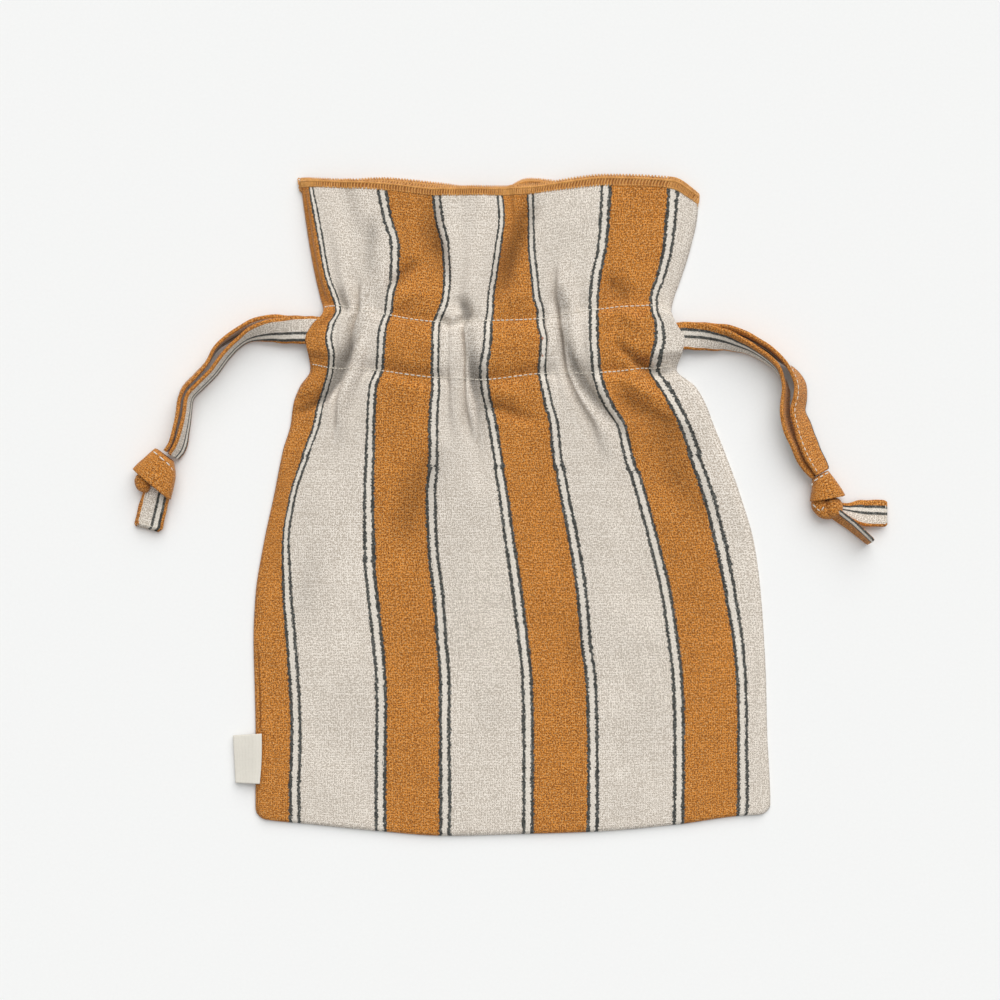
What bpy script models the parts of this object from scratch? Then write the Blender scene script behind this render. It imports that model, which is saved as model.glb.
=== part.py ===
"""Drawstring pouch of striped linen, lying flat with its neck gathered and its two ties knotted.

The pouch lies on z = 0 with its mouth towards +Y and its front panel up. Its origin is the
bottom centre of the bag. Sizes and tables are in millimetres, and MM turns them into metres.
A place on a panel is given by u, the flat distance across the cloth from the left seam, and y,
the height at which that row of the cloth lies.
"""
import math
from collections import namedtuple

import bmesh
import bpy
from mathutils import Vector

MM = 0.001

# Driving dimensions
PANEL_WIDTH = 205.6
BOTTOM_Y = -131.6
MOUTH_Y = 130.0
UPPER_ROW_Y = 77.6
LOWER_ROW_Y = 54.4
CORNER_RADIUS = 5.0
CLOTH = 1.0
CLEARANCE = 0.3
OVERLOCK_WIDTH = 3.8
OVERLOCK_THICKNESS = 1.4
TIE_THICKNESS = 1.6
TIE_STEPS = 3
LABEL_TOP_Y = -91.6
LABEL_HEIGHT = 19.4

# Moves the middle of the bag's box, with its label, onto the origin
CENTRE_SHIFT_X = 0.4
CENTRE_SHIFT_Y = -0.15

# Flat distances of the stripe edges from the left seam: each letter is one pair of lines
STRIPE_EDGES = (0.0, 16.4, 50.8, 75.8, 108.8, 134.6, 169.2, 194.8, PANEL_WIDTH)

# Where the stripe edges lie, a row for each cross section from the mouth to the hem
Section = namedtuple("Section", "y left a b c d e f g right")
SECTIONS = (
    Section(130.0, -80.4, -76.4, -48.8, -26.4, -2.0, 11.2, 42.0, 68.0, 79.2),
    Section(114.8, -78.4, -73.4, -45.8, -24.6, -0.4, 11.8, 41.2, 66.6, 77.8),
    Section(103.2, -76.6, -71.4, -42.8, -22.0, -1.8, 12.0, 40.2, 65.4, 75.2),
    Section(91.6, -74.4, -69.2, -43.0, -21.4, -3.6, 13.2, 38.0, 62.8, 71.6),
    Section(83.2, -72.4, -66.2, -44.8, -22.0, -4.8, 14.0, 37.2, 60.2, 68.6),
    Section(77.6, -71.0, -65.0, -45.4, -23.6, -5.0, 15.6, 37.0, 60.4, 67.4),
    Section(72.0, -75.6, -67.6, -47.2, -25.8, -5.8, 15.8, 37.0, 62.0, 69.6),
    Section(66.4, -78.2, -68.6, -48.2, -26.0, -6.0, 17.0, 37.0, 62.2, 72.6),
    Section(60.8, -77.2, -67.6, -48.4, -26.0, -6.6, 16.6, 37.4, 61.2, 71.6),
    Section(54.4, -76.4, -68.2, -49.0, -26.2, -7.4, 16.2, 38.0, 60.4, 69.6),
    Section(47.6, -80.6, -69.8, -51.6, -25.8, -7.0, 17.4, 39.8, 64.2, 77.2),
    Section(40.8, -83.2, -71.8, -52.2, -26.4, -5.8, 18.8, 42.8, 67.8, 81.2),
    Section(32.0, -84.4, -73.6, -52.6, -26.8, -4.0, 21.2, 48.0, 72.4, 84.6),
    Section(22.8, -87.2, -77.0, -52.8, -26.8, -2.6, 22.0, 50.0, 75.6, 88.4),
    Section(4.0, -91.0, -83.4, -53.4, -28.2, 0.6, 25.0, 55.6, 82.4, 95.2),
    Section(-15.6, -95.2, -86.2, -53.2, -27.6, 3.3, 28.9, 60.8, 87.3, 100.8),
    Section(-36.0, -98.4, -85.6, -51.6, -25.2, 6.2, 32.0, 65.6, 91.2, 103.4),
    Section(-53.6, -99.2, -84.2, -49.8, -24.0, 8.4, 33.4, 68.2, 94.2, 104.6),
    Section(-70.0, -98.8, -83.0, -48.4, -22.8, 10.0, 35.6, 70.0, 95.6, 105.4),
    Section(-89.2, -98.4, -82.2, -48.2, -22.8, 10.4, 36.2, 70.6, 96.0, 105.8),
    Section(-118.0, -98.4, -82.8, -48.6, -22.6, 10.4, 36.3, 70.5, 96.1, 107.1),
    Section(-131.6, -98.0, -82.6, -48.4, -22.8, 10.4, 36.0, 70.4, 95.6, 107.0),
)

# How far each row of the cloth lies above or below its own height at each stripe edge
Drift = namedtuple("Drift", "y left a b c d e f g right")
FRONT_DRIFTS = (
    Drift(MOUTH_Y, 0.7, 0.5, -0.6, -2.6, -2.7, -2.1, 1.9, 0.9, -5.4),
    Drift(UPPER_ROW_Y, 1.2, 2.0, -1.6, -4.4, -4.0, -3.2, 0.4, 2.0, -0.4),
    Drift(LOWER_ROW_Y, 2.4, 0.8, -0.4, -3.2, -4.0, -1.6, -1.4, 0.8, 1.6),
    Drift(0.0, 0.0, 0.0, 0.0, 0.0, 0.0, 0.0, 0.0, 0.0, 0.0),
    Drift(-90.0, 0.0, 0.0, 0.0, 0.0, 0.0, 0.0, 0.0, 0.0, 0.0),
    Drift(BOTTOM_Y, 6.4, 5.2, 1.8, 0.0, 0.8, 1.6, 4.6, 8.0, 8.4),
)
BACK_DRIFTS = (
    Drift(MOUTH_Y, -0.4, -1.8, -3.4, 1.2, -3.4, 1.0, -2.2, -1.4, -6.6),
) + FRONT_DRIFTS[1:]

# Heights of the middle of the cloth, a row for each cross section
Height = namedtuple("Height", "y left middle right back")
HEIGHTS = (
    Height(130.0, 2.7, 5.4, 2.9, 0.5),
    Height(104.0, 2.8, 6.2, 2.9, 0.5),
    Height(84.0, 2.4, 6.4, 2.5, 0.5),
    Height(79.5, 2.6, 6.4, 2.6, 0.5),
    Height(76.0, 6.4, 6.9, 6.3, 0.5),
    Height(60.5, 6.4, 7.2, 6.3, 0.5),
    Height(57.0, 3.2, 6.9, 3.4, 0.5),
    Height(50.0, 2.2, 6.5, 2.2, 0.5),
    Height(30.0, 2.0, 5.4, 2.0, 0.5),
    Height(0.0, 1.9, 4.2, 1.9, 0.5),
    Height(-60.0, 1.85, 3.0, 1.85, 0.5),
    Height(-118.0, 1.85, 2.3, 1.85, 0.5),
    Height(-131.6, 1.85, 1.85, 1.85, 0.5),
)
EDGE_RISE = 24.0
PUFF = 0.5
ROW_DIP = 0.4
ROW_DIP_REACH = 3.0
VALLEY_SHARE = 0.5

# Folds of the front panel: the crest lies one width right of the centre and leans over the valley
Fold = namedtuple("Fold", "name top low u_top u_mid u_low width height lean fade_up fade_down")
FRONT_FOLDS = (
    Fold("left_roll", 118.0, 84.0, 9.0, 8.0, 8.0, 3.6, 1.2, 0.6, 12.0, 8.0),
    Fold("a_b_flare", 130.0, 92.0, 37.0, 38.0, 36.5, 5.0, 1.4, 1.0, 8.0, 14.0),
    Fold("a_b_tuck", 80.0, 44.0, 36.0, 35.0, 30.5, 3.4, 2.8, 2.6, 14.0, 22.0),
    Fold("a_b_ease", 96.0, 48.0, 25.0, 23.5, 21.5, 3.2, 1.0, 0.8, 20.0, 22.0),
    Fold("b_c_pinch", 84.0, 56.0, 62.0, 60.0, 60.0, 3.4, 0.8, 0.5, 12.0, 16.0),
    Fold("c_d_flap", 130.0, 79.0, 91.0, 89.0, 86.0, 5.2, 2.2, 1.8, 8.0, 5.0),
    Fold("c_d_tuck", 74.0, 44.0, 96.0, 99.5, 98.0, 3.4, 2.8, 2.2, 8.0, 22.0),
    Fold("c_d_ease", 74.0, 44.0, 84.0, 84.5, 85.0, 3.2, 1.0, 0.7, 8.0, 20.0),
    Fold("d_e_flare", 130.0, 100.0, 120.0, 121.0, 121.0, 4.0, 1.9, 2.2, 8.0, 16.0),
    Fold("e_f_tuck", 86.0, 40.0, 148.5, 151.0, 156.5, 3.4, 2.8, 2.4, 18.0, 24.0),
    Fold("e_f_ease", 84.0, 46.0, 163.0, 164.0, 165.0, 3.0, 0.9, 0.6, 16.0, 18.0),
    Fold("f_g_pinch", 80.0, 52.0, 181.0, 180.0, 182.0, 3.2, 0.8, 0.5, 12.0, 14.0),
)

# Soft tucks of the back panel, which only rise off the surface
BACK_FOLDS = (
    Fold("back_a", 92.0, 44.0, 30.0, 30.0, 28.0, 5.0, 1.7, 0.8, 24.0, 26.0),
    Fold("back_b", 90.0, 46.0, 62.0, 63.0, 63.0, 4.4, 1.2, 0.6, 22.0, 22.0),
    Fold("back_c", 120.0, 44.0, 84.0, 88.0, 88.0, 5.0, 1.8, 0.9, 10.0, 26.0),
    Fold("back_d", 120.0, 48.0, 126.0, 124.0, 122.0, 4.6, 1.5, 0.8, 10.0, 22.0),
    Fold("back_e", 92.0, 42.0, 152.0, 152.0, 155.0, 5.0, 1.8, 0.8, 24.0, 26.0),
)

# Cuts of each stripe into faces, and the heights of the rows of faces
FRONT_CUTS = (3, 11, 5, 11, 6, 11, 5, 3)
BACK_CUTS = (3, 6, 4, 6, 4, 6, 4, 3)
FRONT_ROWS = (
    -131.6, -129.0, -124.0, -112.0, -84.0, -52.0, -20.0, 4.0, 20.0, 31.0, 40.0, 47.0,
    51.5, 54.4, 57.5, 62.0, 67.0, 72.0, 75.5, 77.6, 80.5, 85.0, 92.0, 101.0, 112.0, 120.0,
)
BACK_ROWS = (
    -131.6, -129.0, -124.0, -112.0, -80.0, -44.0, -8.0, 16.0, 32.0, 44.0, 54.4, 62.0,
    70.0, 77.6, 85.0, 96.0, 110.0,
)
PANEL_TOP_Y = MOUTH_Y - OVERLOCK_WIDTH - 1.5 * CLEARANCE

# Routes of the four tie strands: the middle of the tape, its roll about its run, and its width
Stop = namedtuple("Stop", "x y z roll width")
LEFT_FRONT_ROUTE = (
    Stop(-62.0, 69.4, 4.5, 0, 11.0), Stop(-70.0, 69.6, 4.5, 0, 11.0),
    Stop(-78.0, 70.0, 4.8, -3, 11.0), Stop(-85.0, 70.0, 5.8, -22, 11.0),
    Stop(-92.8, 69.5, 6.8, -43, 11.0), Stop(-98.4, 68.4, 6.7, -62, 11.0),
    Stop(-102.6, 66.6, 6.2, -76, 11.0), Stop(-106.2, 63.8, 6.0, -80, 11.0),
    Stop(-109.6, 60.2, 6.0, -80, 11.0), Stop(-112.6, 56.2, 6.0, -80, 11.0),
    Stop(-115.4, 52.6, 6.0, -80, 11.0), Stop(-120.6, 47.4, 6.0, -80, 11.0),
    Stop(-124.2, 43.2, 6.0, -82, 11.0), Stop(-125.2, 37.2, 6.0, -82, 11.0),
    Stop(-126.8, 29.4, 5.8, -82, 10.4), Stop(-128.8, 23.0, 5.6, -82, 9.4),
    Stop(-131.1, 19.7, 5.5, -82, 8.4),
)
LEFT_BACK_ROUTE = (
    Stop(-62.0, 69.4, 2.15, 0, 11.0), Stop(-70.0, 69.6, 2.15, 0, 11.0),
    Stop(-78.0, 70.2, 2.3, -3, 11.0), Stop(-85.0, 70.9, 3.2, -22, 11.0),
    Stop(-92.8, 71.6, 4.7, -43, 11.0), Stop(-99.2, 71.1, 5.6, -62, 11.0),
    Stop(-104.0, 69.4, 6.0, -76, 11.0), Stop(-110.2, 65.8, 6.0, -86, 11.0),
    Stop(-114.2, 62.2, 6.0, -92, 11.0), Stop(-117.4, 56.8, 6.0, -97, 11.0),
    Stop(-122.0, 51.6, 6.0, -99, 11.0), Stop(-126.2, 47.2, 6.0, -99, 11.0),
    Stop(-128.2, 42.4, 6.0, -98, 11.0), Stop(-128.9, 37.2, 6.0, -98, 11.0),
    Stop(-130.2, 31.0, 5.8, -96, 10.4), Stop(-131.6, 25.2, 5.6, -92, 9.4),
    Stop(-133.6, 21.8, 5.5, -90, 8.4),
)
RIGHT_INNER_ROUTE = (
    Stop(60.0, 67.4, 4.3, 0, 11.0), Stop(68.0, 67.6, 4.3, 0, 11.0),
    Stop(74.8, 67.6, 4.6, 3, 11.0), Stop(81.4, 67.2, 5.8, 22, 11.0),
    Stop(88.0, 66.0, 6.8, 45, 11.0), Stop(93.2, 64.4, 6.6, 60, 11.0),
    Stop(99.2, 62.2, 6.1, 74, 11.0), Stop(104.8, 58.8, 6.0, 80, 11.0),
    Stop(109.0, 55.2, 6.0, 86, 11.0), Stop(111.4, 51.2, 6.0, 96, 11.0),
    Stop(112.8, 46.4, 6.0, 107, 11.0), Stop(112.6, 40.4, 5.9, 112, 11.0),
    Stop(112.9, 34.8, 5.8, 113, 11.0), Stop(114.5, 29.4, 5.7, 116, 10.6),
    Stop(117.4, 23.8, 5.4, 120, 10.0), Stop(120.4, 18.8, 4.6, 134, 9.0),
    Stop(125.5, 12.5, 4.4, 140, 8.0),
)
RIGHT_OUTER_ROUTE = (
    Stop(60.0, 67.4, 2.15, 0, 11.0), Stop(68.0, 67.6, 2.15, 0, 11.0),
    Stop(74.8, 67.8, 2.3, 3, 11.0), Stop(81.6, 68.0, 3.2, 22, 11.0),
    Stop(88.8, 68.0, 4.8, 45, 11.0), Stop(94.8, 66.9, 5.6, 60, 11.0),
    Stop(100.6, 64.9, 6.0, 74, 11.0), Stop(106.8, 61.4, 6.0, 82, 11.0),
    Stop(112.0, 57.2, 6.0, 92, 11.0), Stop(116.0, 53.0, 5.9, 108, 11.0),
    Stop(118.4, 48.6, 5.7, 118, 11.0), Stop(118.8, 43.6, 5.6, 122, 11.0),
    Stop(117.8, 38.0, 5.6, 126, 11.0), Stop(119.4, 32.0, 6.0, 133, 11.0),
    Stop(121.6, 25.6, 6.4, 140, 10.4), Stop(124.2, 19.4, 6.6, 142, 9.6),
    Stop(127.4, 13.4, 6.6, 142, 8.2),
)

# Tails below the knots
LEFT_TOP_TAIL = (
    Stop(-135.6, 12.0, 3.6, 0, 9.0), Stop(-137.2, 6.6, 3.4, 2, 10.6),
    Stop(-139.2, -1.6, 3.0, 4, 11.0), Stop(-141.0, -8.6, 2.8, 4, 11.0),
)
LEFT_LOW_TAIL = (
    Stop(-136.0, 12.0, 1.6, 0, 9.0), Stop(-137.8, 6.0, 1.3, 0, 10.6),
    Stop(-139.9, -2.0, 1.1, 0, 11.0), Stop(-141.8, -9.2, 1.1, 0, 11.0),
)
RIGHT_FLAT_TAIL = (
    Stop(130.6, -0.4, 4.4, -10, 5.0), Stop(137.0, -1.6, 4.2, -10, 5.6),
    Stop(142.4, -2.4, 3.6, -10, 9.8), Stop(147.6, -2.8, 2.9, -9, 10.8),
    Stop(153.6, -3.0, 2.2, -8, 10.8),
)
RIGHT_EDGE_TAIL = (
    Stop(129.6, -0.6, 4.8, 60, 7.0), Stop(134.4, -4.2, 4.6, 66, 8.6),
    Stop(140.4, -8.8, 5.2, 74, 10.0), Stop(146.8, -14.4, 5.4, 80, 10.4),
)

# Knots: the oval cross sections of the wrapped tape, from where the strands enter to the tails
Ring = namedtuple("Ring", "x y wide high turn")
LEFT_KNOT = (
    Ring(-132.6, 20.3, 9.4, 8.6, -40), Ring(-133.8, 18.8, 12.0, 10.0, -40),
    Ring(-136.4, 15.4, 16.2, 10.4, -40), Ring(-138.4, 12.2, 19.0, 9.8, -40),
    Ring(-139.6, 9.4, 19.0, 8.2, -40), Ring(-139.9, 8.4, 16.0, 5.6, -40),
)
RIGHT_KNOT = (
    Ring(127.0, 12.4, 8.6, 9.0, 32), Ring(127.4, 10.9, 11.6, 10.4, 26),
    Ring(128.6, 7.0, 13.6, 10.4, 12), Ring(129.4, 3.2, 14.2, 9.6, 2),
    Ring(129.8, -0.6, 11.0, 9.0, -6), Ring(130.4, -3.6, 8.6, 7.4, -12),
    Ring(130.6, -4.8, 5.0, 4.4, -14),
)
KNOT_SIDES = 14


def smoothstep(low, high, value):
    """A soft ramp from 0 at low to 1 at high."""
    share = min(max((value - low) / (high - low), 0.0), 1.0)
    return share * share * (3.0 - 2.0 * share)


def soft_curve(places, values, place):
    """Read a smooth curve that passes through the values and never overshoots them."""
    last = len(places) - 1
    place = min(max(place, places[0]), places[last])
    i = 0
    while i < last - 1 and place > places[i + 1]:
        i += 1
    spans = [places[k + 1] - places[k] for k in range(last)]
    rates = [(values[k + 1] - values[k]) / spans[k] for k in range(last)]

    def slope(k):
        if k == 0:
            return rates[0]
        if k == last:
            return rates[last - 1]
        before, after = rates[k - 1], rates[k]
        return 0.0 if before * after <= 0.0 else 2.0 * before * after / (before + after)

    t = (place - places[i]) / spans[i]
    rise = slope(i) * spans[i] * t * (1.0 - t) ** 2
    fall = slope(i + 1) * spans[i] * t * t * (1.0 - t)
    blend = t * t * (3.0 - 2.0 * t)
    return values[i] + (values[i + 1] - values[i]) * blend + rise - fall


def table_column(rows, column, y):
    """Read one column of a table whose rows run from the mouth down."""
    upward = rows[::-1]
    return soft_curve([row.y for row in upward], [row[column] for row in upward], y)


def across(rows, u, y):
    """Read a table of stripe edges at a flat distance u and a height y."""
    edges = [table_column(rows, column + 1, y) for column in range(len(STRIPE_EDGES))]
    return soft_curve(STRIPE_EDGES, edges, u)


def fold_shift(fold, u, y):
    """How far one fold moves the cloth sideways and up."""
    share = smoothstep(fold.low - fold.fade_down, fold.low, y)
    share *= 1.0 - smoothstep(fold.top, fold.top + fold.fade_up, y)
    if share == 0.0:
        return 0.0, 0.0
    stops = (fold.low, 0.5 * (fold.low + fold.top), fold.top)
    centre = soft_curve(stops, (fold.u_low, fold.u_mid, fold.u_top), y)
    q = (u - centre) / fold.width
    crest = math.exp(-(q - 1.0) ** 2)
    valley = math.exp(-(q + 1.0) ** 2)
    sideways = -share * fold.lean * math.exp(-(q - 0.8) ** 2)
    return sideways, share * fold.height * (crest - VALLEY_SHARE * valley)


def back_height(u, y):
    """Height of the back panel's middle surface, which lies flat but for its tucks."""
    lift = sum(fold_shift(fold, u, y)[1] for fold in BACK_FOLDS)
    return table_column(HEIGHTS, 4, y) + max(lift, 0.0)


def front_height(u, y):
    """Height of the front panel's middle surface without its folds."""
    side = table_column(HEIGHTS, 1 if u < 0.5 * PANEL_WIDTH else 3, y)
    inward = smoothstep(0.0, EDGE_RISE, min(u, PANEL_WIDTH - u))
    height = side + (table_column(HEIGHTS, 2, y) - side) * inward
    if LOWER_ROW_Y < y < UPPER_ROW_Y:
        height += PUFF * inward * math.sin(math.pi * (y - LOWER_ROW_Y) / (UPPER_ROW_Y - LOWER_ROW_Y))
    for row in (LOWER_ROW_Y, UPPER_ROW_Y):
        height -= ROW_DIP * inward * math.exp(-((y - row) / ROW_DIP_REACH) ** 2)
    return height


def rounded_corner(u, row):
    """How far the two lower corners draw in towards the middle."""
    above = row - BOTTOM_Y
    if above >= CORNER_RADIUS:
        return 0.0
    inset = CORNER_RADIUS - math.sqrt(CORNER_RADIUS ** 2 - (CORNER_RADIUS - above) ** 2)
    left = max(0.0, 1.0 - u / (3.0 * CORNER_RADIUS))
    right = max(0.0, 1.0 - (PANEL_WIDTH - u) / (3.0 * CORNER_RADIUS))
    return inset * (left ** 2 - right ** 2)


def place_front(u, row):
    """Where a point of the front panel's middle surface lies."""
    y = row + across(FRONT_DRIFTS, u, row)
    x = across(SECTIONS, u, y) + rounded_corner(u, row)
    z = front_height(u, row)
    for fold in FRONT_FOLDS:
        sideways, up = fold_shift(fold, u, row)
        x += sideways
        z += up
    floor = back_height(u, row) + CLOTH + CLEARANCE + 0.05
    return Vector((x, y, max(z, floor)))


def place_back(u, row):
    """Where a point of the back panel's middle surface lies."""
    y = row + across(BACK_DRIFTS, u, row)
    x = across(SECTIONS, u, y) + rounded_corner(u, row)
    return Vector((x, y, back_height(u, row)))


def lines_across(cuts):
    """Flat distances of the lines of faces, with each stripe cut into its own number."""
    lines = [0.0]
    for stripe, count in enumerate(cuts):
        start, end = STRIPE_EDGES[stripe], STRIPE_EDGES[stripe + 1]
        lines += [start + (end - start) * (k + 1) / count for k in range(count)]
    return lines


def make_material(name, colour, roughness):
    """A plain cloth material."""
    material = bpy.data.materials.new(name)
    material.use_nodes = True
    shader = material.node_tree.nodes["Principled BSDF"]
    shader.inputs["Base Color"].default_value = (*colour, 1.0)
    shader.inputs["Roughness"].default_value = roughness
    shader.inputs["Metallic"].default_value = 0.0
    return material


def add_object(name, mesh_builder, material):
    """Turn a bmesh in millimetres into a named object in metres."""
    centre = Vector((CENTRE_SHIFT_X, CENTRE_SHIFT_Y, 0.0))
    for vertex in mesh_builder.verts:
        vertex.co = (vertex.co + centre) * MM
    mesh = bpy.data.meshes.new(name)
    mesh_builder.to_mesh(mesh)
    mesh_builder.free()
    mesh.materials.append(material)
    mesh.shade_smooth()
    made = bpy.data.objects.new(name, mesh)
    bpy.context.scene.collection.objects.link(made)
    return made


def make_sheet(name, lines, rows, place, thickness, material):
    """A sheet of cloth whose middle surface is placed by a function of its flat position."""
    sheet = bmesh.new()
    bmesh.ops.create_grid(sheet, x_segments=len(lines) - 1, y_segments=len(rows) - 1, size=0.5)
    for vertex in sheet.verts:
        i = round((vertex.co.x + 0.5) * (len(lines) - 1))
        j = round((vertex.co.y + 0.5) * (len(rows) - 1))
        vertex.co = place(lines[i], rows[j])
    made = add_object(name, sheet, material)
    wall = made.modifiers.new("Thickness", "SOLIDIFY")
    wall.thickness = thickness * MM
    wall.offset = 0.0
    return made


def route_points(stops, steps):
    """Points along a smooth curve through a route's stops, with roll and width carried along."""
    spans = [0.0]
    for before, after in zip(stops, stops[1:]):
        spans.append(spans[-1] + math.dist(before[:3], after[:3]))
    points = []
    for k in range((len(stops) - 1) * steps + 1):
        i, part = divmod(k, steps)
        start = spans[i]
        end = spans[min(i + 1, len(stops) - 1)]
        along = start + (end - start) * part / steps
        points.append(Stop(*(hermite(spans, stops, column, along) for column in range(5))))
    return points


def hermite(spans, stops, column, along):
    """Read a smooth curve through one column of a route."""
    last = len(stops) - 1
    i = 0
    while i < last - 1 and along > spans[i + 1]:
        i += 1

    def slope(k):
        low, high = max(k - 1, 0), min(k + 1, last)
        return (stops[high][column] - stops[low][column]) / (spans[high] - spans[low])

    span = spans[i + 1] - spans[i]
    t = (along - spans[i]) / span
    start, end = stops[i][column], stops[i + 1][column]
    blend = t * t * (3.0 - 2.0 * t)
    rise = slope(i) * span * t * (1.0 - t) ** 2
    fall = slope(i + 1) * span * t * t * (1.0 - t)
    return start + (end - start) * blend + rise - fall


def bridge_rings(builder, rings):
    """Join closed rings of vertices into one body with capped ends."""
    for before, after in zip(rings, rings[1:]):
        count = len(before)
        for k in range(count):
            following = (k + 1) % count
            builder.faces.new((before[k], before[following], after[following], after[k]))
    builder.faces.new(rings[0][::-1])
    builder.faces.new(rings[-1])
    bmesh.ops.recalc_face_normals(builder, faces=builder.faces)


def make_tape(name, stops, steps, material):
    """A flat tape swept along a route, with slightly rounded long edges."""
    points = route_points(stops, steps)
    builder = bmesh.new()
    rings = []
    for k, point in enumerate(points):
        ahead = Vector(points[min(k + 1, len(points) - 1)][:3])
        behind = Vector(points[max(k - 1, 0)][:3])
        run = (ahead - behind).normalized()
        level = Vector((0.0, 0.0, 1.0)).cross(run).normalized()
        upright = run.cross(level)
        roll = math.radians(point.roll)
        wide = level * math.cos(roll) + upright * math.sin(roll)
        thick = run.cross(wide)
        half_width, half_thickness = 0.5 * point.width, 0.5 * TIE_THICKNESS
        corners = (
            (-1.0, 0.0), (-0.88, -1.0), (0.88, -1.0), (1.0, 0.0), (0.88, 1.0), (-0.88, 1.0),
        )
        middle = Vector(point[:3])
        rings.append([
            builder.verts.new(middle + wide * (a * half_width) + thick * (b * half_thickness))
            for a, b in corners
        ])
    bridge_rings(builder, rings)
    return add_object(name, builder, material)


def make_knot(name, sections, material):
    """The wrapped body of a knot, lofted through its oval cross sections."""
    builder = bmesh.new()
    rings = []
    for section in sections:
        turn = math.radians(section.turn)
        wide = Vector((math.cos(turn), math.sin(turn), 0.0))
        middle = Vector((section.x, section.y, CLEARANCE + 5.2))
        ring = []
        for k in range(KNOT_SIDES):
            angle = 2.0 * math.pi * k / KNOT_SIDES
            side = math.copysign(abs(math.cos(angle)) ** 0.8, math.cos(angle))
            rise = math.copysign(abs(math.sin(angle)) ** 0.8, math.sin(angle))
            offset = wide * (0.5 * section.wide * side)
            offset.z = 0.5 * section.high * rise
            ring.append(builder.verts.new(middle + offset))
        rings.append(ring)
    bridge_rings(builder, rings)
    return add_object(name, builder, material)


def fuse(made, other):
    """Join another body onto this one and hide the one that was used."""
    join = made.modifiers.new("Join " + other.name, "BOOLEAN")
    join.operation = "UNION"
    join.object = other
    other.hide_render = True
    other.display_type = "WIRE"


def make_label(material):
    """The folded label: one strip from the seam out to its fold and back."""
    layers = (
        (0.00, 4.70), (0.20, 4.60), (0.45, 3.90), (0.70, 3.05), (0.90, 2.45), (0.98, 2.15),
        (1.00, 1.60), (0.98, 1.05), (0.90, 0.78), (0.70, 1.25), (0.45, 2.25), (0.20, 3.20),
        (0.02, 3.35),
    )
    seam_top, seam_low = -96.4, -97.2
    fold_top, fold_low = -107.4, -106.4

    def place(u, v):
        share, height = layers[round(u)]
        seam = seam_top + (seam_low - seam_top) * v
        fold = fold_top + (fold_low - fold_top) * v
        return Vector((seam + (fold - seam) * share, LABEL_TOP_Y - LABEL_HEIGHT * v, height))

    return make_sheet("label", list(range(len(layers))), [0.0, 0.25, 0.5, 0.75, 1.0], place, CLOTH, material)


def make_bag():
    """The two panels and the overlocked thread edges of the mouth."""
    linen = make_material("striped_linen", (0.66, 0.58, 0.46), 0.85)
    thread = make_material("overlock_thread", (0.62, 0.29, 0.06), 0.5)
    front_lines = lines_across(FRONT_CUTS)
    back_lines = lines_across(BACK_CUTS)
    edge_rows = [MOUTH_Y - OVERLOCK_WIDTH, MOUTH_Y - 0.5 * OVERLOCK_WIDTH, MOUTH_Y]
    lift = Vector((0.0, 0.0, 0.5 * (OVERLOCK_THICKNESS - CLOTH)))

    def place_back_edge(u, row):
        return place_back(u, row) + lift

    def place_front_edge(u, row):
        return place_front(u, row) + lift

    make_sheet("front_panel", front_lines, [*FRONT_ROWS, PANEL_TOP_Y], place_front, CLOTH, linen)
    make_sheet("back_panel", back_lines, [*BACK_ROWS, PANEL_TOP_Y], place_back, CLOTH, linen)
    make_sheet("overlock_front", front_lines, edge_rows, place_front_edge, OVERLOCK_THICKNESS, thread)
    make_sheet("overlock_back", back_lines, edge_rows, place_back_edge, OVERLOCK_THICKNESS, thread)


def make_ties():
    """The four strands of tape, and the two knots with their tails."""
    tape = make_material("tie_linen", (0.56, 0.23, 0.04), 0.85)
    make_tape("left_tie_front", LEFT_FRONT_ROUTE, TIE_STEPS, tape)
    make_tape("left_tie_back", LEFT_BACK_ROUTE, TIE_STEPS, tape)
    make_tape("right_tie_inner", RIGHT_INNER_ROUTE, TIE_STEPS, tape)
    make_tape("right_tie_outer", RIGHT_OUTER_ROUTE, TIE_STEPS, tape)
    tails = (
        ("left_knot", LEFT_KNOT, (LEFT_TOP_TAIL, LEFT_LOW_TAIL)),
        ("right_knot", RIGHT_KNOT, (RIGHT_FLAT_TAIL, RIGHT_EDGE_TAIL)),
    )
    for name, sections, routes in tails:
        knot = make_knot(name, sections, tape)
        for number, route in enumerate(routes):
            fuse(knot, make_tape(f"{name}_tail_{number}", route, 2, tape))


def main():
    """Clear the scene and build every piece."""
    for old in list(bpy.data.objects):
        bpy.data.objects.remove(old, do_unlink=True)
    make_bag()
    make_label(make_material("label_tape", (0.79, 0.75, 0.65), 0.8))
    make_ties()


main()
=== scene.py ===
"""Dresses the drawstring pouch: printed linen panels, overlocked mouth, tape ties, knots and label.

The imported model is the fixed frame. The pouch lies on z = 0 with its mouth towards +Y. Tables are
in millimetres, as in the part's source, and MM turns them into metres. A place on a panel is given
by u, the flat distance across the cloth from the left seam, and row, the height of its row.
"""
from __future__ import annotations

import logging
import math
import random
from collections.abc import Callable, Sequence
from dataclasses import dataclass, field
from enum import Enum
from functools import partialmethod
from typing import NamedTuple

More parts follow.
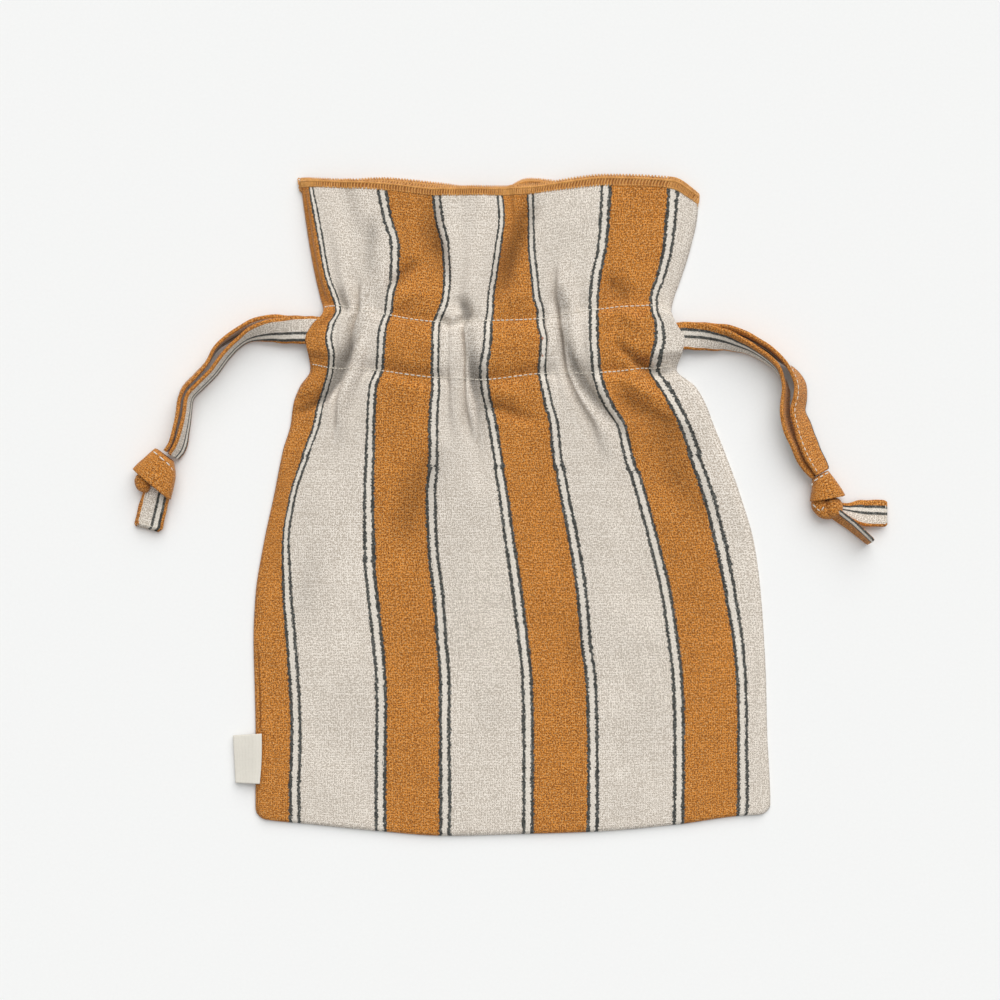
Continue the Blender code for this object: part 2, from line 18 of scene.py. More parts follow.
import bmesh
import bpy
import numpy as np
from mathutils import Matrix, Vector

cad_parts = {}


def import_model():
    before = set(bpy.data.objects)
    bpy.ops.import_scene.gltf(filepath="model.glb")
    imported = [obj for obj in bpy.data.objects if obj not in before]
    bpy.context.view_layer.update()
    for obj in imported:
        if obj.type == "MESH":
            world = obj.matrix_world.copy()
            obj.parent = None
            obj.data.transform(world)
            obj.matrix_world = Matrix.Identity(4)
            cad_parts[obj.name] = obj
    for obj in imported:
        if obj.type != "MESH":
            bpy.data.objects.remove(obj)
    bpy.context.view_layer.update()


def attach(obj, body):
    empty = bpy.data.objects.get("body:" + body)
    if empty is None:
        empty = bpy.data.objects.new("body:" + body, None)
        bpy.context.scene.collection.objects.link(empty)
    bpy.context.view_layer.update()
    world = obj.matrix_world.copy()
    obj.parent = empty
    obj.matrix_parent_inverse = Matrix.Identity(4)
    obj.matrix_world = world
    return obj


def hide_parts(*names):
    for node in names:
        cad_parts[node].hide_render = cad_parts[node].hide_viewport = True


Array = np.ndarray
Colour = tuple[float, float, float, float]
Shape = bmesh.types.BMesh
Piece = bpy.types.Object
Material = bpy.types.Material
Socket = bpy.types.NodeSocket

LOG = logging.getLogger("drawstring_pouch")
MM = 0.001
UP = Vector((0.0, 0.0, 1.0))

# Sizes and places that the part's source sets
PANEL_WIDTH = 205.6
BOTTOM_Y = -131.6
MOUTH_Y = 130.0
UPPER_ROW_Y = 77.6
LOWER_ROW_Y = 54.4
CORNER_RADIUS = 5.0
SOLID_CLOTH = 1.0
CLEARANCE = 0.3
OVERLOCK_WIDTH = 3.8
TIE_THICKNESS = 1.5
CENTRE_SHIFT = (0.4, -0.15)
STRIPE_EDGES = (0.0, 16.4, 50.8, 75.8, 108.8, 134.6, 169.2, 194.8, PANEL_WIDTH)

# Where the print of each line pair steps sideways: its flat place, the step's height and its size
PRINT_JOGS = (
    (16.4, 19.4, 0.5),
    (50.8, -21.4, -0.3),
    (75.8, 16.2, 0.5),
    (108.8, 16.6, -0.4),
    (134.6, 15.4, 0.4),
    (169.2, 14.2, 0.5),
    (194.8, 20.6, -0.6),
)

# Flat places and radii of the small rust specks
RUST_SPECKS = ((133.4, 69.4, 0.9), (134.0, 61.8, 0.7))

# Sizes that only the dressing needs
LINEN = 0.5
SEAM_HEIGHT = 0.8
PRINT_LINE_OFFSET = 1.7
WARP_PITCH = 0.9
WEFT_PITCH = 1.0
CLOTH_BUMP = 0.4
CLOTH_RELIEF = 0.2
STITCH_PITCH = 2.1
TAPE_WIDTH = 11.0
PIXEL = 0.4
PHOTO_CENTRE = (500.0, 500.0)
FRAME_PIXEL = (501.0, 505.625)


class Side(Enum):
    """The two panels of the bag."""

    FRONT = "front"
    BACK = "back"


class Section(NamedTuple):
    """Where the stripe edges lie at one height."""

    y: float
    left: float
    a: float
    b: float
    c: float
    d: float
    e: float
    f: float
    g: float
    right: float


class Height(NamedTuple):
    """Heights of the middle of the cloth at one cross section."""

    y: float
    left: float
    middle: float
    right: float
    back: float


class Fold(NamedTuple):
    """A fold whose crest lies one width from its centre and leans over its valley."""

    name: str
    top: float
    low: float
    u_top: float
    u_mid: float
    u_low: float
    width: float
    height: float
    lean: float
    fade_up: float
    fade_down: float


class Crease(NamedTuple):
    """A trough or ridge of the lying cloth, with its reach to either side of its run."""

    name: str
    left: float
    right: float
    path: tuple[tuple[float, float, float], ...]


class Stop(NamedTuple):
    """One point of a tape's route: its middle, its roll about its run, and its width."""

    x: float
    y: float
    z: float
    roll: float
    width: float = TAPE_WIDTH


class Ring(NamedTuple):
    """One oval cross section of a knot's wrapped tape."""

    x: float
    y: float
    wide: float
    high: float
    turn: float


def rows_of(kind: type, *rows: tuple) -> tuple:
    """Turn plain rows into named rows of one kind."""
    return tuple(kind(*row) for row in rows)


SECTIONS = rows_of(
    Section,
    (130, -80.4, -76.4, -48.8, -26.4, -2, 11.2, 42, 68, 79.2),
    (114.8, -78.4, -73.4, -45.8, -24.6, -0.4, 11.8, 41.2, 66.6, 77.8),
    (103.2, -76.6, -71.4, -42.8, -22, -1.8, 12, 40.2, 65.4, 75.2),
    (91.6, -74.4, -69.2, -43, -21.4, -3.6, 13.2, 38, 62.8, 71.6),
    (83.2, -72.4, -66.2, -44.8, -22, -4.8, 14, 37.2, 60.2, 68.6),
    (77.6, -71, -65, -45.4, -23.6, -5, 15.6, 37, 60.4, 67.4),
    (72, -75.6, -67.6, -47.2, -25.8, -5.8, 15.8, 37, 62, 69.6),
    (66.4, -78.2, -68.6, -48.2, -26, -6, 17, 37, 62.2, 72.6),
    (60.8, -77.2, -67.6, -48.4, -26, -6.6, 16.6, 37.4, 61.2, 71.6),
    (54.4, -76.4, -68.2, -49, -26.2, -7.4, 16.2, 38, 60.4, 69.6),
    (47.6, -80.6, -69.8, -51.6, -25.8, -7, 17.4, 39.8, 64.2, 77.2),
    (40.8, -83.2, -71.8, -52.2, -26.4, -5.8, 18.8, 42.8, 67.8, 81.2),
    (32, -84.4, -73.6, -52.6, -26.8, -4, 21.2, 48, 72.4, 84.6),
    (22.8, -87.2, -77, -52.8, -26.8, -2.6, 22, 50, 75.6, 88.4),
    (4, -91, -83.4, -53.4, -28.2, 0.6, 25, 55.6, 82.4, 95.2),
    (-15.6, -95.2, -86.2, -53.2, -27.6, 3.3, 28.9, 60.8, 87.3, 100.8),
    (-36, -98.4, -85.6, -51.6, -25.2, 6.2, 32, 65.6, 91.2, 103.4),
    (-53.6, -99.2, -84.2, -49.8, -24, 8.4, 33.4, 68.2, 94.2, 104.6),
    (-70, -98.8, -83, -48.4, -22.8, 10, 35.6, 70, 95.6, 105.4),
    (-89.2, -98.4, -82.2, -48.2, -22.8, 10.4, 36.2, 70.6, 96, 105.8),
    (-118, -98.4, -82.8, -48.6, -22.6, 10.4, 36.3, 70.5, 96.1, 107.1),
    (-131.6, -98, -82.6, -48.4, -22.8, 10.4, 36, 70.4, 95.6, 107),
)

# How far each row of the cloth lies above or below its own height at each stripe edge
FRONT_DRIFTS = rows_of(
    Section,
    (MOUTH_Y, 0.7, 0.5, -0.6, -2.6, -2.7, -2.1, 1.9, 0.9, -5.4),
    (UPPER_ROW_Y, 1.2, 2, -1.6, -4.4, -4, -3.2, 0.4, 2, -0.4),
    (LOWER_ROW_Y, 2.4, 0.8, -0.4, -3.2, -4, -1.6, -1.4, 0.8, 1.6),
    (0, 0, 0, 0, 0, 0, 0, 0, 0, 0),
    (-90, 0, 0, 0, 0, 0, 0, 0, 0, 0),
    (BOTTOM_Y, 6.4, 5.2, 1.8, 0, 0.8, 1.6, 4.6, 8, 8.4),
)
BACK_DRIFTS = (
    Section(MOUTH_Y, -0.4, -1.8, 1.1, -0.8, -3.9, 0.9, -2.2, -1.4, -6.6),
) + FRONT_DRIFTS[1:]

HEIGHTS = rows_of(
    Height,
    (130, 2.7, 5.4, 2.9, 0.5),
    (104, 2.8, 6.2, 2.9, 0.5),
    (84, 2.4, 6.4, 2.5, 0.5),
    (79.5, 2.6, 6.4, 2.6, 0.5),
    (76, 6.4, 6.9, 6.3, 0.5),
    (60.5, 6.4, 7.2, 6.3, 0.5),
    (57, 3.2, 6.9, 3.4, 0.5),
    (50, 2.2, 6.5, 2.2, 0.5),
    (30, 2, 5.4, 2, 0.5),
    (0, 1.9, 4.2, 1.9, 0.5),
    (-60, 1.85, 3, 1.85, 0.5),
    (-118, 1.85, 2.3, 1.85, 0.5),
    (-131.6, 1.85, 1.85, 1.85, 0.5),
)

# How the solids' cloth rises from the seams, puffs in the channel, dips at its rows and folds
EDGE_RISE = 24.0
PUFF = 0.5
ROW_DIP = 0.4
ROW_DIP_REACH = 3.0
VALLEY_SHARE = 0.5

# The solids' folds, two of them softer here than in the solids
FRONT_FOLDS = rows_of(
    Fold,
    ("left_roll", 118, 84, 9, 8, 8, 3.6, 1.2, 0.6, 12, 8),
    ("a_b_flare", 130, 92, 37, 38, 36.5, 5, 1.4, 1, 8, 14),
    ("a_b_tuck", 80, 44, 36, 35, 30.5, 3.4, 2.8, 2.6, 14, 22),
    ("a_b_ease", 96, 48, 25, 23.5, 21.5, 3.2, 1, 0.8, 20, 22),
    ("b_c_pinch", 84, 56, 62, 60, 60, 3.4, 0.8, 0.5, 12, 16),
    ("c_d_flap", 130, 79, 91, 89, 86, 5.2, 0.9, 0.7, 8, 5),
    ("c_d_tuck", 74, 44, 96, 99.5, 98, 3.4, 2.8, 2.2, 8, 22),
    ("c_d_ease", 74, 44, 84, 84.5, 85, 3.2, 1, 0.7, 8, 20),
    ("d_e_flare", 130, 100, 120, 121, 121, 4, 0.8, 0.9, 8, 16),
    ("e_f_tuck", 86, 40, 148.5, 151, 156.5, 3.4, 2.8, 2.4, 18, 24),
    ("e_f_ease", 84, 46, 163, 164, 165, 3, 0.9, 0.6, 16, 18),
    ("f_g_pinch", 80, 52, 181, 180, 182, 3.2, 0.8, 0.5, 12, 14),
)
BACK_FOLDS = rows_of(
    Fold,
    ("back_a", 92, 44, 30, 30, 28, 5, 1.7, 0.8, 24, 26),
    ("back_b", 90, 46, 62, 63, 63, 4.4, 1.2, 0.6, 22, 22),
    ("back_c", 120, 44, 84, 88, 88, 5, 1.8, 0.9, 10, 26),
    ("back_d", 120, 48, 126, 124, 122, 4.6, 1.5, 0.8, 10, 22),
    ("back_e", 92, 42, 152, 152, 155, 5, 1.8, 0.8, 24, 26),
)

# Finer folds of the gathered cloth, beside the solids' folds
FINE_FOLDS = rows_of(
    Fold,
    ("c_line_cover", 74, 60, 79.5, 79.5, 79.5, 1.8, 0.6, 1.8, 5, 6),
    ("e_line_cover", 74, 64, 138, 138, 138, 1.8, 0.6, 1.6, 4, 6),
    ("g_pinch_upper", 80, 76, 196, 196, 196, 1.8, 0.6, 0.4, 6, 5),
    ("g_pinch_lower", 58, 50, 193, 193, 193, 2.2, 0.9, 0.7, 6, 10),
    ("left_pinch", 76, 72, 8, 8, 8, 2.2, -0.9, 0, 4, 5),
    ("f_g_dimple_high", 75, 72, 186, 186, 186, 2.4, -0.9, 0, 3, 4),
)

# Creases as the cloth lies: their reach to the left and right of the way they run, then x, y and
# height along them. A crease has no height at its first and last point.
CREASES = rows_of(
    Crease,
    ("a_b_valley", 1.7, 4.4, (
        (-54.8, 78, 0), (-56, 73, -1.2), (-58.6, 66, -2.4), (-61.8, 58.4, -4.8),
        (-65.2, 50.6, -5.2), (-71, 42.8, -4.6), (-78, 39, -3.6), (-88, 36.4, 0),
    )),
    ("a_b_ridge", 4.2, 1.4, (
        (-51, 79, 0), (-52.4, 75.4, 1.4), (-54, 68, 1.3), (-56.6, 58.4, 1.5), (-60.8, 48.4, 1.5),
        (-64.8, 40, 1), (-67.6, 26, 0),
    )),
    ("left_brow", 5, 2.6, ((-90, 42, 0), (-84, 43.2, 1.5), (-77, 46, 1.5), (-70, 50, 0))),
    ("a_kink", 1.8, 2, ((-66, 88, 0), (-64, 83, -2), (-62.2, 79.2, -2.6), (-60.6, 76, 0))),
    ("a_b_hollow", 3.4, 3.4, (
        (-51.6, 116, 0), (-52, 107.6, -2.5), (-53, 99, -2), (-52.6, 90, -1.5), (-53.8, 82, -1.2),
        (-55, 77, 0),
    )),
    ("a_b_upper_ridge", 2.2, 2.2, (
        (-45.6, 112, 0), (-47, 98, 0.9), (-48.2, 86, 1.1), (-49.4, 77, 0),
    )),
    ("b_c_shade", 2.4, 6.6, (
        (-26.8, 127, 0), (-26.8, 118, -2.2), (-26.4, 108, -3.2), (-24, 101, -3.2),
        (-22.4, 92, -1.6), (-21.6, 84, 0),
    )),
    ("b_c_slant", 2.2, 2.2, ((-46, 84, 0), (-42.4, 88.8, -2), (-37, 94.2, -2.4), (-29, 98.4, 0))),
    ("b_c_swell", 3.2, 3.2, ((-44, 80, 0), (-39, 82.6, 1.6), (-34.6, 84, 1.4), (-28, 85, 0))),
    ("b_c_pleat_left", 1.6, 1.2, (
        (-42.6, 77, 0), (-43.4, 70, 0.9), (-42.6, 63, 0.7), (-42, 57, 0),
    )),
    ("b_c_groove", 1.1, 1.1, ((-37.6, 77, 0), (-38.2, 70, -0.8), (-37, 62, -0.9), (-36.6, 55, 0))),
    ("b_c_pleat_right", 1.2, 1.8, ((-32, 76, 0), (-31.6, 70, 0.7), (-31, 63, 0.5), (-30.4, 57, 0))),
    ("b_c_wrinkle", 1.4, 1.4, (
        (-42, 51, 0), (-36.8, 49.8, -0.8), (-30.4, 48.6, -0.9), (-26, 48.8, 0),
    )),
    ("c_d_pit", 2.6, 2.6, ((-17, 84, 0), (-15, 79, -4.6), (-13.8, 75.8, -4.6), (-12.4, 72, 0))),
    ("c_d_flap", 4.5, 1.3, (
        (-25.6, 78.6, 0), (-23, 76, 1.4), (-20, 74.8, 1.9), (-17.2, 76.6, 1.5), (-15.6, 79.6, 0),
    )),
    ("c_d_flap_foot", 1.2, 1.2, (
        (-26, 75.4, 0), (-23.6, 73, -1.1), (-20.2, 71.4, -1.4), (-16.2, 73.6, -1.2), (-14.4, 76, 0),
    )),
    ("c_d_valley", 3.8, 1.6, (
        (-14, 76, 0), (-13.6, 70, -2.2), (-12.8, 62.4, -2.8), (-12.2, 55, -5), (-11.4, 48.6, -5),
        (-9.2, 40.4, -3.2), (-8.6, 29, -2), (-10, 6, 0),
    )),
    ("c_d_ridge", 1.5, 4.6, (
        (-16.6, 75, 0), (-16.8, 70, 1), (-16.4, 61, 1.3), (-15.6, 52, 1.4), (-15.2, 42, 1),
        (-16.6, 22, 0),
    )),
    ("d_e_slant", 4.6, 4.2, (
        (12.8, 124, 0), (10.2, 116.6, -2.9), (7, 109, -3.5), (3.6, 99.4, -3.6), (-0.4, 88.6, -2.8),
        (-4.6, 77, 0),
    )),
    ("d_e_swell", 3, 3, ((-1, 80, 0), (3, 82.4, 1), (6.8, 84, 1), (12, 84, 0))),
    ("d_e_fold", 2.2, 2.8, (
        (-8, 42, 0), (-4, 39.8, -2.3), (2, 38, -2.3), (8.6, 35.6, -1.6), (15, 33, 0),
    )),
    ("d_e_brow", 2.6, 2.6, ((-6, 47, 0), (-1, 45.4, 0.7), (5.6, 43.8, 0.7), (13, 41, 0))),
    ("e_f_valley", 1.5, 3.4, (
        (21.2, 89, 0), (23, 83.6, -2.2), (25, 78.8, -2.8), (25.4, 73, -1.8), (25.8, 66, -2.6),
        (27.6, 59.6, -4.2), (30.2, 53.8, -5.2), (34.4, 47, -4.6), (39.2, 40.8, -3.2),
        (46, 32.4, -1.9), (55, 18, 0),
    )),
    ("e_f_ridge", 4, 1.6, (
        (28, 80, 0), (29.4, 75, 0.9), (30.6, 66, 1), (33.4, 57, 1.2), (38, 49.6, 1.3),
        (43.4, 42.4, 0.9), (51, 30, 0),
    )),
    ("e_bulge", 2, 2.8, ((19.6, 80, 0), (20.4, 73, 1.3), (20.8, 64, 1.3), (21.4, 55, 0))),
    ("f_g_dimple", 4.6, 4.6, ((39, 92, 0), (44.4, 87.2, -2.5), (48.6, 84.4, -2.6), (55, 80.6, 0))),
    ("f_g_crest", 1.2, 4, (
        (38, 74, 0), (41, 75.4, 1.1), (46.4, 78, 1.8), (51, 75.4, 1.5), (55.4, 74.2, 1.5),
        (59, 77.2, 1.2), (61, 79, 0),
    )),
    ("f_g_fold", 2.2, 1.8, (
        (44, 65, 0), (48.4, 61.6, -2.6), (54.4, 57, -3.6), (60.4, 53.6, -3.6), (66, 54, -2.6),
        (72, 57.4, 0),
    )),
    ("f_g_swell", 2.4, 2.6, (
        (37, 52, 0), (42, 51.4, 1), (48.4, 50, 1.6), (56, 46, 1.7), (63.6, 42.4, 1.3), (71, 37, 0),
    )),
    ("f_g_hollow", 2.6, 6.5, (
        (42, 44.6, 0), (48.4, 42, -2), (57, 38.2, -2.7), (66, 33.2, -2.5), (73.6, 27, -1.8),
        (82, 17, 0),
    )),
    ("b_c_body", 8.5, 9, (
        (-25, 25, 0), (-29, 14, -2.1), (-35, 3, -2.5), (-39, -9, -2.1), (-45, -24, 0),
    )),
    ("f_g_body", 9, 9, ((58, 34, 0), (63, 24, -2), (71, 11, -2.4), (79, -1, -1.8), (87, -16, 0))),
    ("a_b_body", 6, 6, ((-72, -14, 0), (-76, -26, -1.2), (-80, -42, -1.3), (-82, -60, 0))),
    ("d_e_body", 6, 6, ((24, -40, 0), (28, -54, -1.1), (32, -72, -1.1), (34, -90, 0))),
    ("left_edge_ripple", 2.4, 2.4, (
        (-99, -8, 0), (-94, -14, -0.5), (-91, -24, -0.5), (-90, -34, 0),
    )),
)

# How the dressed channel swells between its rows and sinks at them
CHANNEL_SWELL = 1.3
ROW_SINKS = ((LOWER_ROW_Y, 1.0), (UPPER_ROW_Y, 0.45))
ROW_SINK_REACH = 2.4
BROW_SWELL = 0.3
BROW_ABOVE = 7.0
SWELL_PLACES = (0.0, 16.0, 33.0, 52.0, 74.0, 90.0, 110.0, 133.0, 150.0, 172.0, 194.0, PANEL_WIDTH)
SWELL_SHARES = (0.3, 0.4, -0.4, 0.9, 1.0, -0.4, 0.9, 1.0, -0.4, 0.9, 0.3, 0.1)

# Crease depth at which the painted shade in the creases is full, and how much that painted shade
# darkens the cloth's colour
HOLLOW_DEPTH = 4.9
HOLLOW_SHADE = 0.6

# How much wider the overlock gets towards the right corner, where its threads lie closer
BAND_PLACES = (0.0, 142.0, 160.0, 190.0, 199.0, PANEL_WIDTH)
BAND_WIDENING = (0.0, 0.0, 0.2, 0.2, 0.38, 0.3)
CLOSE_THREADS = 194.0
CLOSE_SHARE = 0.42

# The wrapped threads of the overlock: place across the band, slant and radius of each bend
WRAP_SHARES = (-1.0, -0.8, -0.45, 0.0, 0.45, 0.8, 0.93)
WRAP_SLANTS = (-0.35, -0.3, -0.12, 0.1, 0.5, 0.8, 0.95)
WRAP_RADII = (0.16, 0.26, 0.27, 0.27, 0.27, 0.27, 0.2)

# The two threads that join the wraps: place across the band, height, start, end and radius
LOOP_THREADS = ((0.42, 0.62, -0.75, 0.62, 0.34), (-0.74, 0.45, -0.45, 0.4, 0.25))
BEAD_RADIUS = 0.33

# The ties' strands and tails, from the channel or the knot outwards
LEFT_FRONT_ROUTE = rows_of(
    Stop,
    (-62, 69.4, 4.5, 0), (-70, 69.6, 4.5, 0), (-78, 70, 4.8, -3), (-85, 70, 5.8, -22),
    (-92.8, 69.5, 6.8, -43), (-98.4, 68.4, 6.7, -62), (-102.6, 66.6, 6.2, -76),
    (-106.2, 63.8, 6, -80), (-109.6, 60.2, 6, -80), (-112.6, 56.2, 6, -80), (-115.4, 52.6, 6, -80),
    (-120.6, 47.4, 6, -80), (-124.2, 43.2, 6, -82), (-125.2, 37.2, 6, -82),
    (-126.6, 29.4, 5.7, -76, 10.4), (-128.4, 23, 5.3, -66, 9.4), (-130.9, 19.7, 5.2, -64, 8.4),
)
LEFT_BACK_ROUTE = rows_of(
    Stop,
    (-62, 69.4, 2.15, 0), (-70, 69.6, 2.15, 0), (-78, 70.2, 2.3, -3), (-85, 70.9, 3.2, -22),
    (-92.8, 71.6, 4.7, -43), (-99.2, 71.1, 5.6, -62), (-104, 69.4, 6, -76), (-110.2, 65.8, 6, -86),
    (-114.2, 62.2, 6, -92), (-117.4, 56.8, 6, -97), (-122, 51.6, 6, -99), (-126.2, 47.2, 6, -99),
    (-128.2, 42.4, 6, -98), (-128.9, 37.2, 6, -98), (-130.2, 31, 5.8, -96, 10.4),
    (-131.6, 25.2, 5.6, -92, 9.4), (-133.6, 21.8, 5.5, -90, 8.4),
)
RIGHT_INNER_ROUTE = rows_of(
    Stop,
    (60, 67.4, 4.3, 0), (68, 67.6, 4.3, 0), (74.8, 67.6, 4.6, 3), (81.4, 67.2, 5.8, 22),
    (88, 66, 6.8, 45), (93.2, 64.4, 6.6, 60), (99.2, 62.2, 6.1, 74), (104.8, 58.8, 6, 80),
    (109, 55.2, 6, 86), (111.4, 51.2, 6, 96), (112.8, 46.4, 6, 107), (112.6, 40.4, 5.9, 112),
    (112.9, 34.8, 5.8, 113), (114.5, 29.4, 5.7, 116, 10.6), (117.4, 23.8, 5.4, 120, 10),
    (120.4, 18.8, 4.6, 134, 9), (125.5, 12.5, 4.4, 140, 8),
)
RIGHT_OUTER_ROUTE = rows_of(
    Stop,
    (60, 67.4, 2.15, 0), (68, 67.6, 2.15, 0), (74.8, 67.8, 2.3, 3), (81.6, 68, 3.2, 22),
    (88.8, 68, 4.8, 45), (94.8, 66.9, 5.6, 60), (100.6, 64.9, 6, 74), (106.8, 61.4, 6, 82),
    (112, 57.2, 6, 92), (116, 53, 5.9, 108), (118.4, 48.6, 5.7, 118), (118.8, 43.6, 5.6, 122),
    (117.8, 38, 5.6, 126), (119.4, 32, 6, 133), (121.6, 25.6, 6.4, 140, 10.4),
    (124.2, 19.4, 6.6, 142, 9.6), (127.4, 13.4, 6.6, 142, 8.2),
)
LEFT_TOP_TAIL = rows_of(
    Stop,
    (-135.6, 12, 3.6, 0, 9), (-137.2, 6.6, 3.4, 2, 10.6), (-139.2, -1.6, 3, 4),
    (-141, -8.6, 2.8, 4),
)
LEFT_LOW_TAIL = rows_of(
    Stop,
    (-136, 12, 1.6, 0, 9), (-137.8, 6, 1.3, 0, 10.6), (-139.9, -2, 1.1, 0), (-141.8, -9.2, 1.1, 0),
)
RIGHT_FLAT_TAIL = rows_of(
    Stop,
    (130.6, -0.4, 4.4, -10, 5), (137, -1.6, 4.2, -10, 5.6), (142.4, -2.4, 3.6, -10, 9.8),
    (147.6, -2.8, 2.9, -9, 10.8), (153.6, -3, 2.2, -8, 10.8),
)
RIGHT_EDGE_TAIL = rows_of(
    Stop,
    (129.6, -0.6, 4.8, 60, 7), (134.4, -4.2, 4.6, 66, 8.6), (140.4, -8.8, 5.2, 74, 10),
    (146.8, -14.4, 5.4, 80, 10.4),
)


# The knots' wrapped tape, as oval cross sections from one end to the other
LEFT_WRAP = rows_of(
    Ring,
    (-134.3, 20, 9.4, 6, -38), (-134.9, 18.6, 11, 8.2, -35), (-136.2, 15.4, 14.4, 9.2, -30),
    (-137.8, 12, 17.2, 9.4, -35), (-139.4, 8.6, 19.4, 9, -40),
)
LEFT_LOOP = rows_of(
    Ring,
    (-142.6, 13.4, 2, 2.4, 0), (-143.2, 12.2, 4.6, 5.4, 4), (-143.4, 10.4, 6, 6.8, 12),
    (-142.8, 8.2, 5.8, 6.6, 22), (-141.8, 6.6, 3.8, 4.6, 30), (-141.2, 5.8, 1.4, 1.8, 34),
)
RIGHT_WRAP = rows_of(
    Ring,
    (126.6, 12, 7.4, 6, 31), (127.1, 10.8, 8.2, 8, 28), (128.3, 7.8, 10.4, 9.4, 16),
    (129, 5.2, 12.6, 9.6, 12), (129.5, 2.9, 14.2, 9.2, 10),
)
RIGHT_DISC = rows_of(
    Ring,
    (131.8, 3.2, 1.6, 2, 0), (131.8, 2.7, 4.4, 5.2, 0), (131.8, 1.4, 6.8, 7.4, 0),
    (131.8, -0.6, 7.7, 8, 0), (131.8, -2.6, 6.8, 7.4, 0), (131.8, -3.9, 4.4, 5.2, 0),
    (131.8, -4.4, 1.6, 2, 0),
)
RIGHT_LOOP = rows_of(
    Ring,
    (124.2, 3.4, 1.6, 2, 48), (124.9, 2.2, 4.8, 5.6, 48), (126.2, 0.4, 6.6, 7, 46),
    (128.4, -2, 6.4, 6.8, 44), (130.2, -3.6, 4.6, 5.4, 42), (131.4, -4.6, 1.6, 2, 40),
)

# Ends of the single stitches that show on each knot
LEFT_KNOT_STITCHES = (
    ((-138.2, 21.6, 8.6), (-136.6, 20.4, 9.4)), ((-135.7, 19.6, 9.7), (-133.8, 18, 9.8)),
    ((-133, 17.4, 9.6), (-131.7, 16, 9.2)), ((-131.3, 15.3, 8.9), (-130.6, 14, 8.2)),
)
RIGHT_KNOT_STITCHES = (
    ((123.7, 9.9, 8.6), (125.2, 10.9, 9.4)), ((125.9, 11.4, 9.6), (127.2, 12.2, 9.6)),
    ((127.9, 12.6, 9.4), (129.3, 13.2, 8.8)), ((123.2, 9.1, 7.8), (122.9, 7.9, 7.4)),
    ((123.4, 0.6, 7.2), (124.6, -0.6, 7.6)), ((125.1, -1.1, 7.6), (126.3, -2, 7.4)),
    ((126.8, -1.7, 8.3), (127.6, -0.3, 8.6)),
)


def ramp_between(low: float, high: float, value: Array) -> Array:
    """A soft ramp from 0 at low to 1 at high."""
    share = np.clip((value - low) / (high - low), 0.0, 1.0)
    return share * share * (3.0 - 2.0 * share)


def hump(away: Array, reach: float = 1.0) -> Array:
    """A soft hump that is 1 in its middle and sinks over its reach to both sides."""
    return np.exp(-((away / reach) ** 2))


def from_seams(u: Array) -> Array:
    """Distance across the cloth to the nearer seam."""
    return np.minimum(u, PANEL_WIDTH - u)


def channel_arch(row: Array) -> Array:
    """A round arch over the channel, from 0 at each stitch row to 1 between them."""
    return np.sin(np.pi * np.clip((row - LOWER_ROW_Y) / (UPPER_ROW_Y - LOWER_ROW_Y), 0.0, 1.0))


def soft_curve(places: Sequence[float], values: Array, at: Array) -> Array:
    """Read smooth curves that pass through their values and never overshoot them.

    Args:
        places: Rising places of the known values.
        values: One value for each place, or one column of values for each reading.
        at: Where to read.

    Returns:
        The readings, in the shape of at.
    """
    stops = np.asarray(places, float)
    flat = np.clip(np.asarray(at, float).ravel(), stops[0], stops[-1])
    table = np.asarray(values, float).reshape(len(stops), -1)
    spans = np.diff(stops)[:, None]
    rates = np.diff(table, axis=0) / spans
    slopes = np.empty_like(table)
    slopes[0], slopes[-1] = rates[0], rates[-1]
    before, after = rates[:-1], rates[1:]
    total = np.where(before + after == 0.0, 1.0, before + after)
    slopes[1:-1] = np.where(before * after > 0.0, 2.0 * before * after / total, 0.0)
    i = np.clip(np.searchsorted(stops, flat) - 1, 0, len(stops) - 2)
    column = np.arange(len(flat)) if table.shape[1] > 1 else 0
    span = spans[i, 0]
    t = (flat - stops[i]) / span
    start, end = table[i, column], table[i + 1, column]
    blend = t * t * (3.0 - 2.0 * t)
    rise = slopes[i, column] * span * t * (1.0 - t) ** 2
    fall = slopes[i + 1, column] * span * t * t * (1.0 - t)
    return (start + (end - start) * blend + rise - fall).reshape(np.shape(at))


def table_column(rows: Sequence[NamedTuple], column: int, y: Array) -> Array:
    """Read one column of a table whose rows run from the mouth down."""
    upward = rows[::-1]
    return soft_curve([row[0] for row in upward], [row[column] for row in upward], y)


def across(rows: Sequence[Section], u: Array, y: Array) -> Array:
    """Read a table of stripe edges at flat distances u and heights y of the same shape."""
    edges = [table_column(rows, column + 1, y).ravel() for column in range(len(STRIPE_EDGES))]
    return soft_curve(STRIPE_EDGES, np.array(edges), u)


def fold_shift(fold: Fold, u: Array, y: Array) -> tuple[Array, Array]:
    """How far one fold moves the cloth sideways and up."""
    share = ramp_between(fold.low - fold.fade_down, fold.low, y)
    share = share * (1.0 - ramp_between(fold.top, fold.top + fold.fade_up, y))
    stops = (fold.low, 0.5 * (fold.low + fold.top), fold.top)
    centre = soft_curve(stops, (fold.u_low, fold.u_mid, fold.u_top), y)
    q = (u - centre) / fold.width
    up = share * fold.height * (hump(q - 1.0) - VALLEY_SHARE * hump(q + 1.0))
    return -share * fold.lean * hump(q - 0.8), up


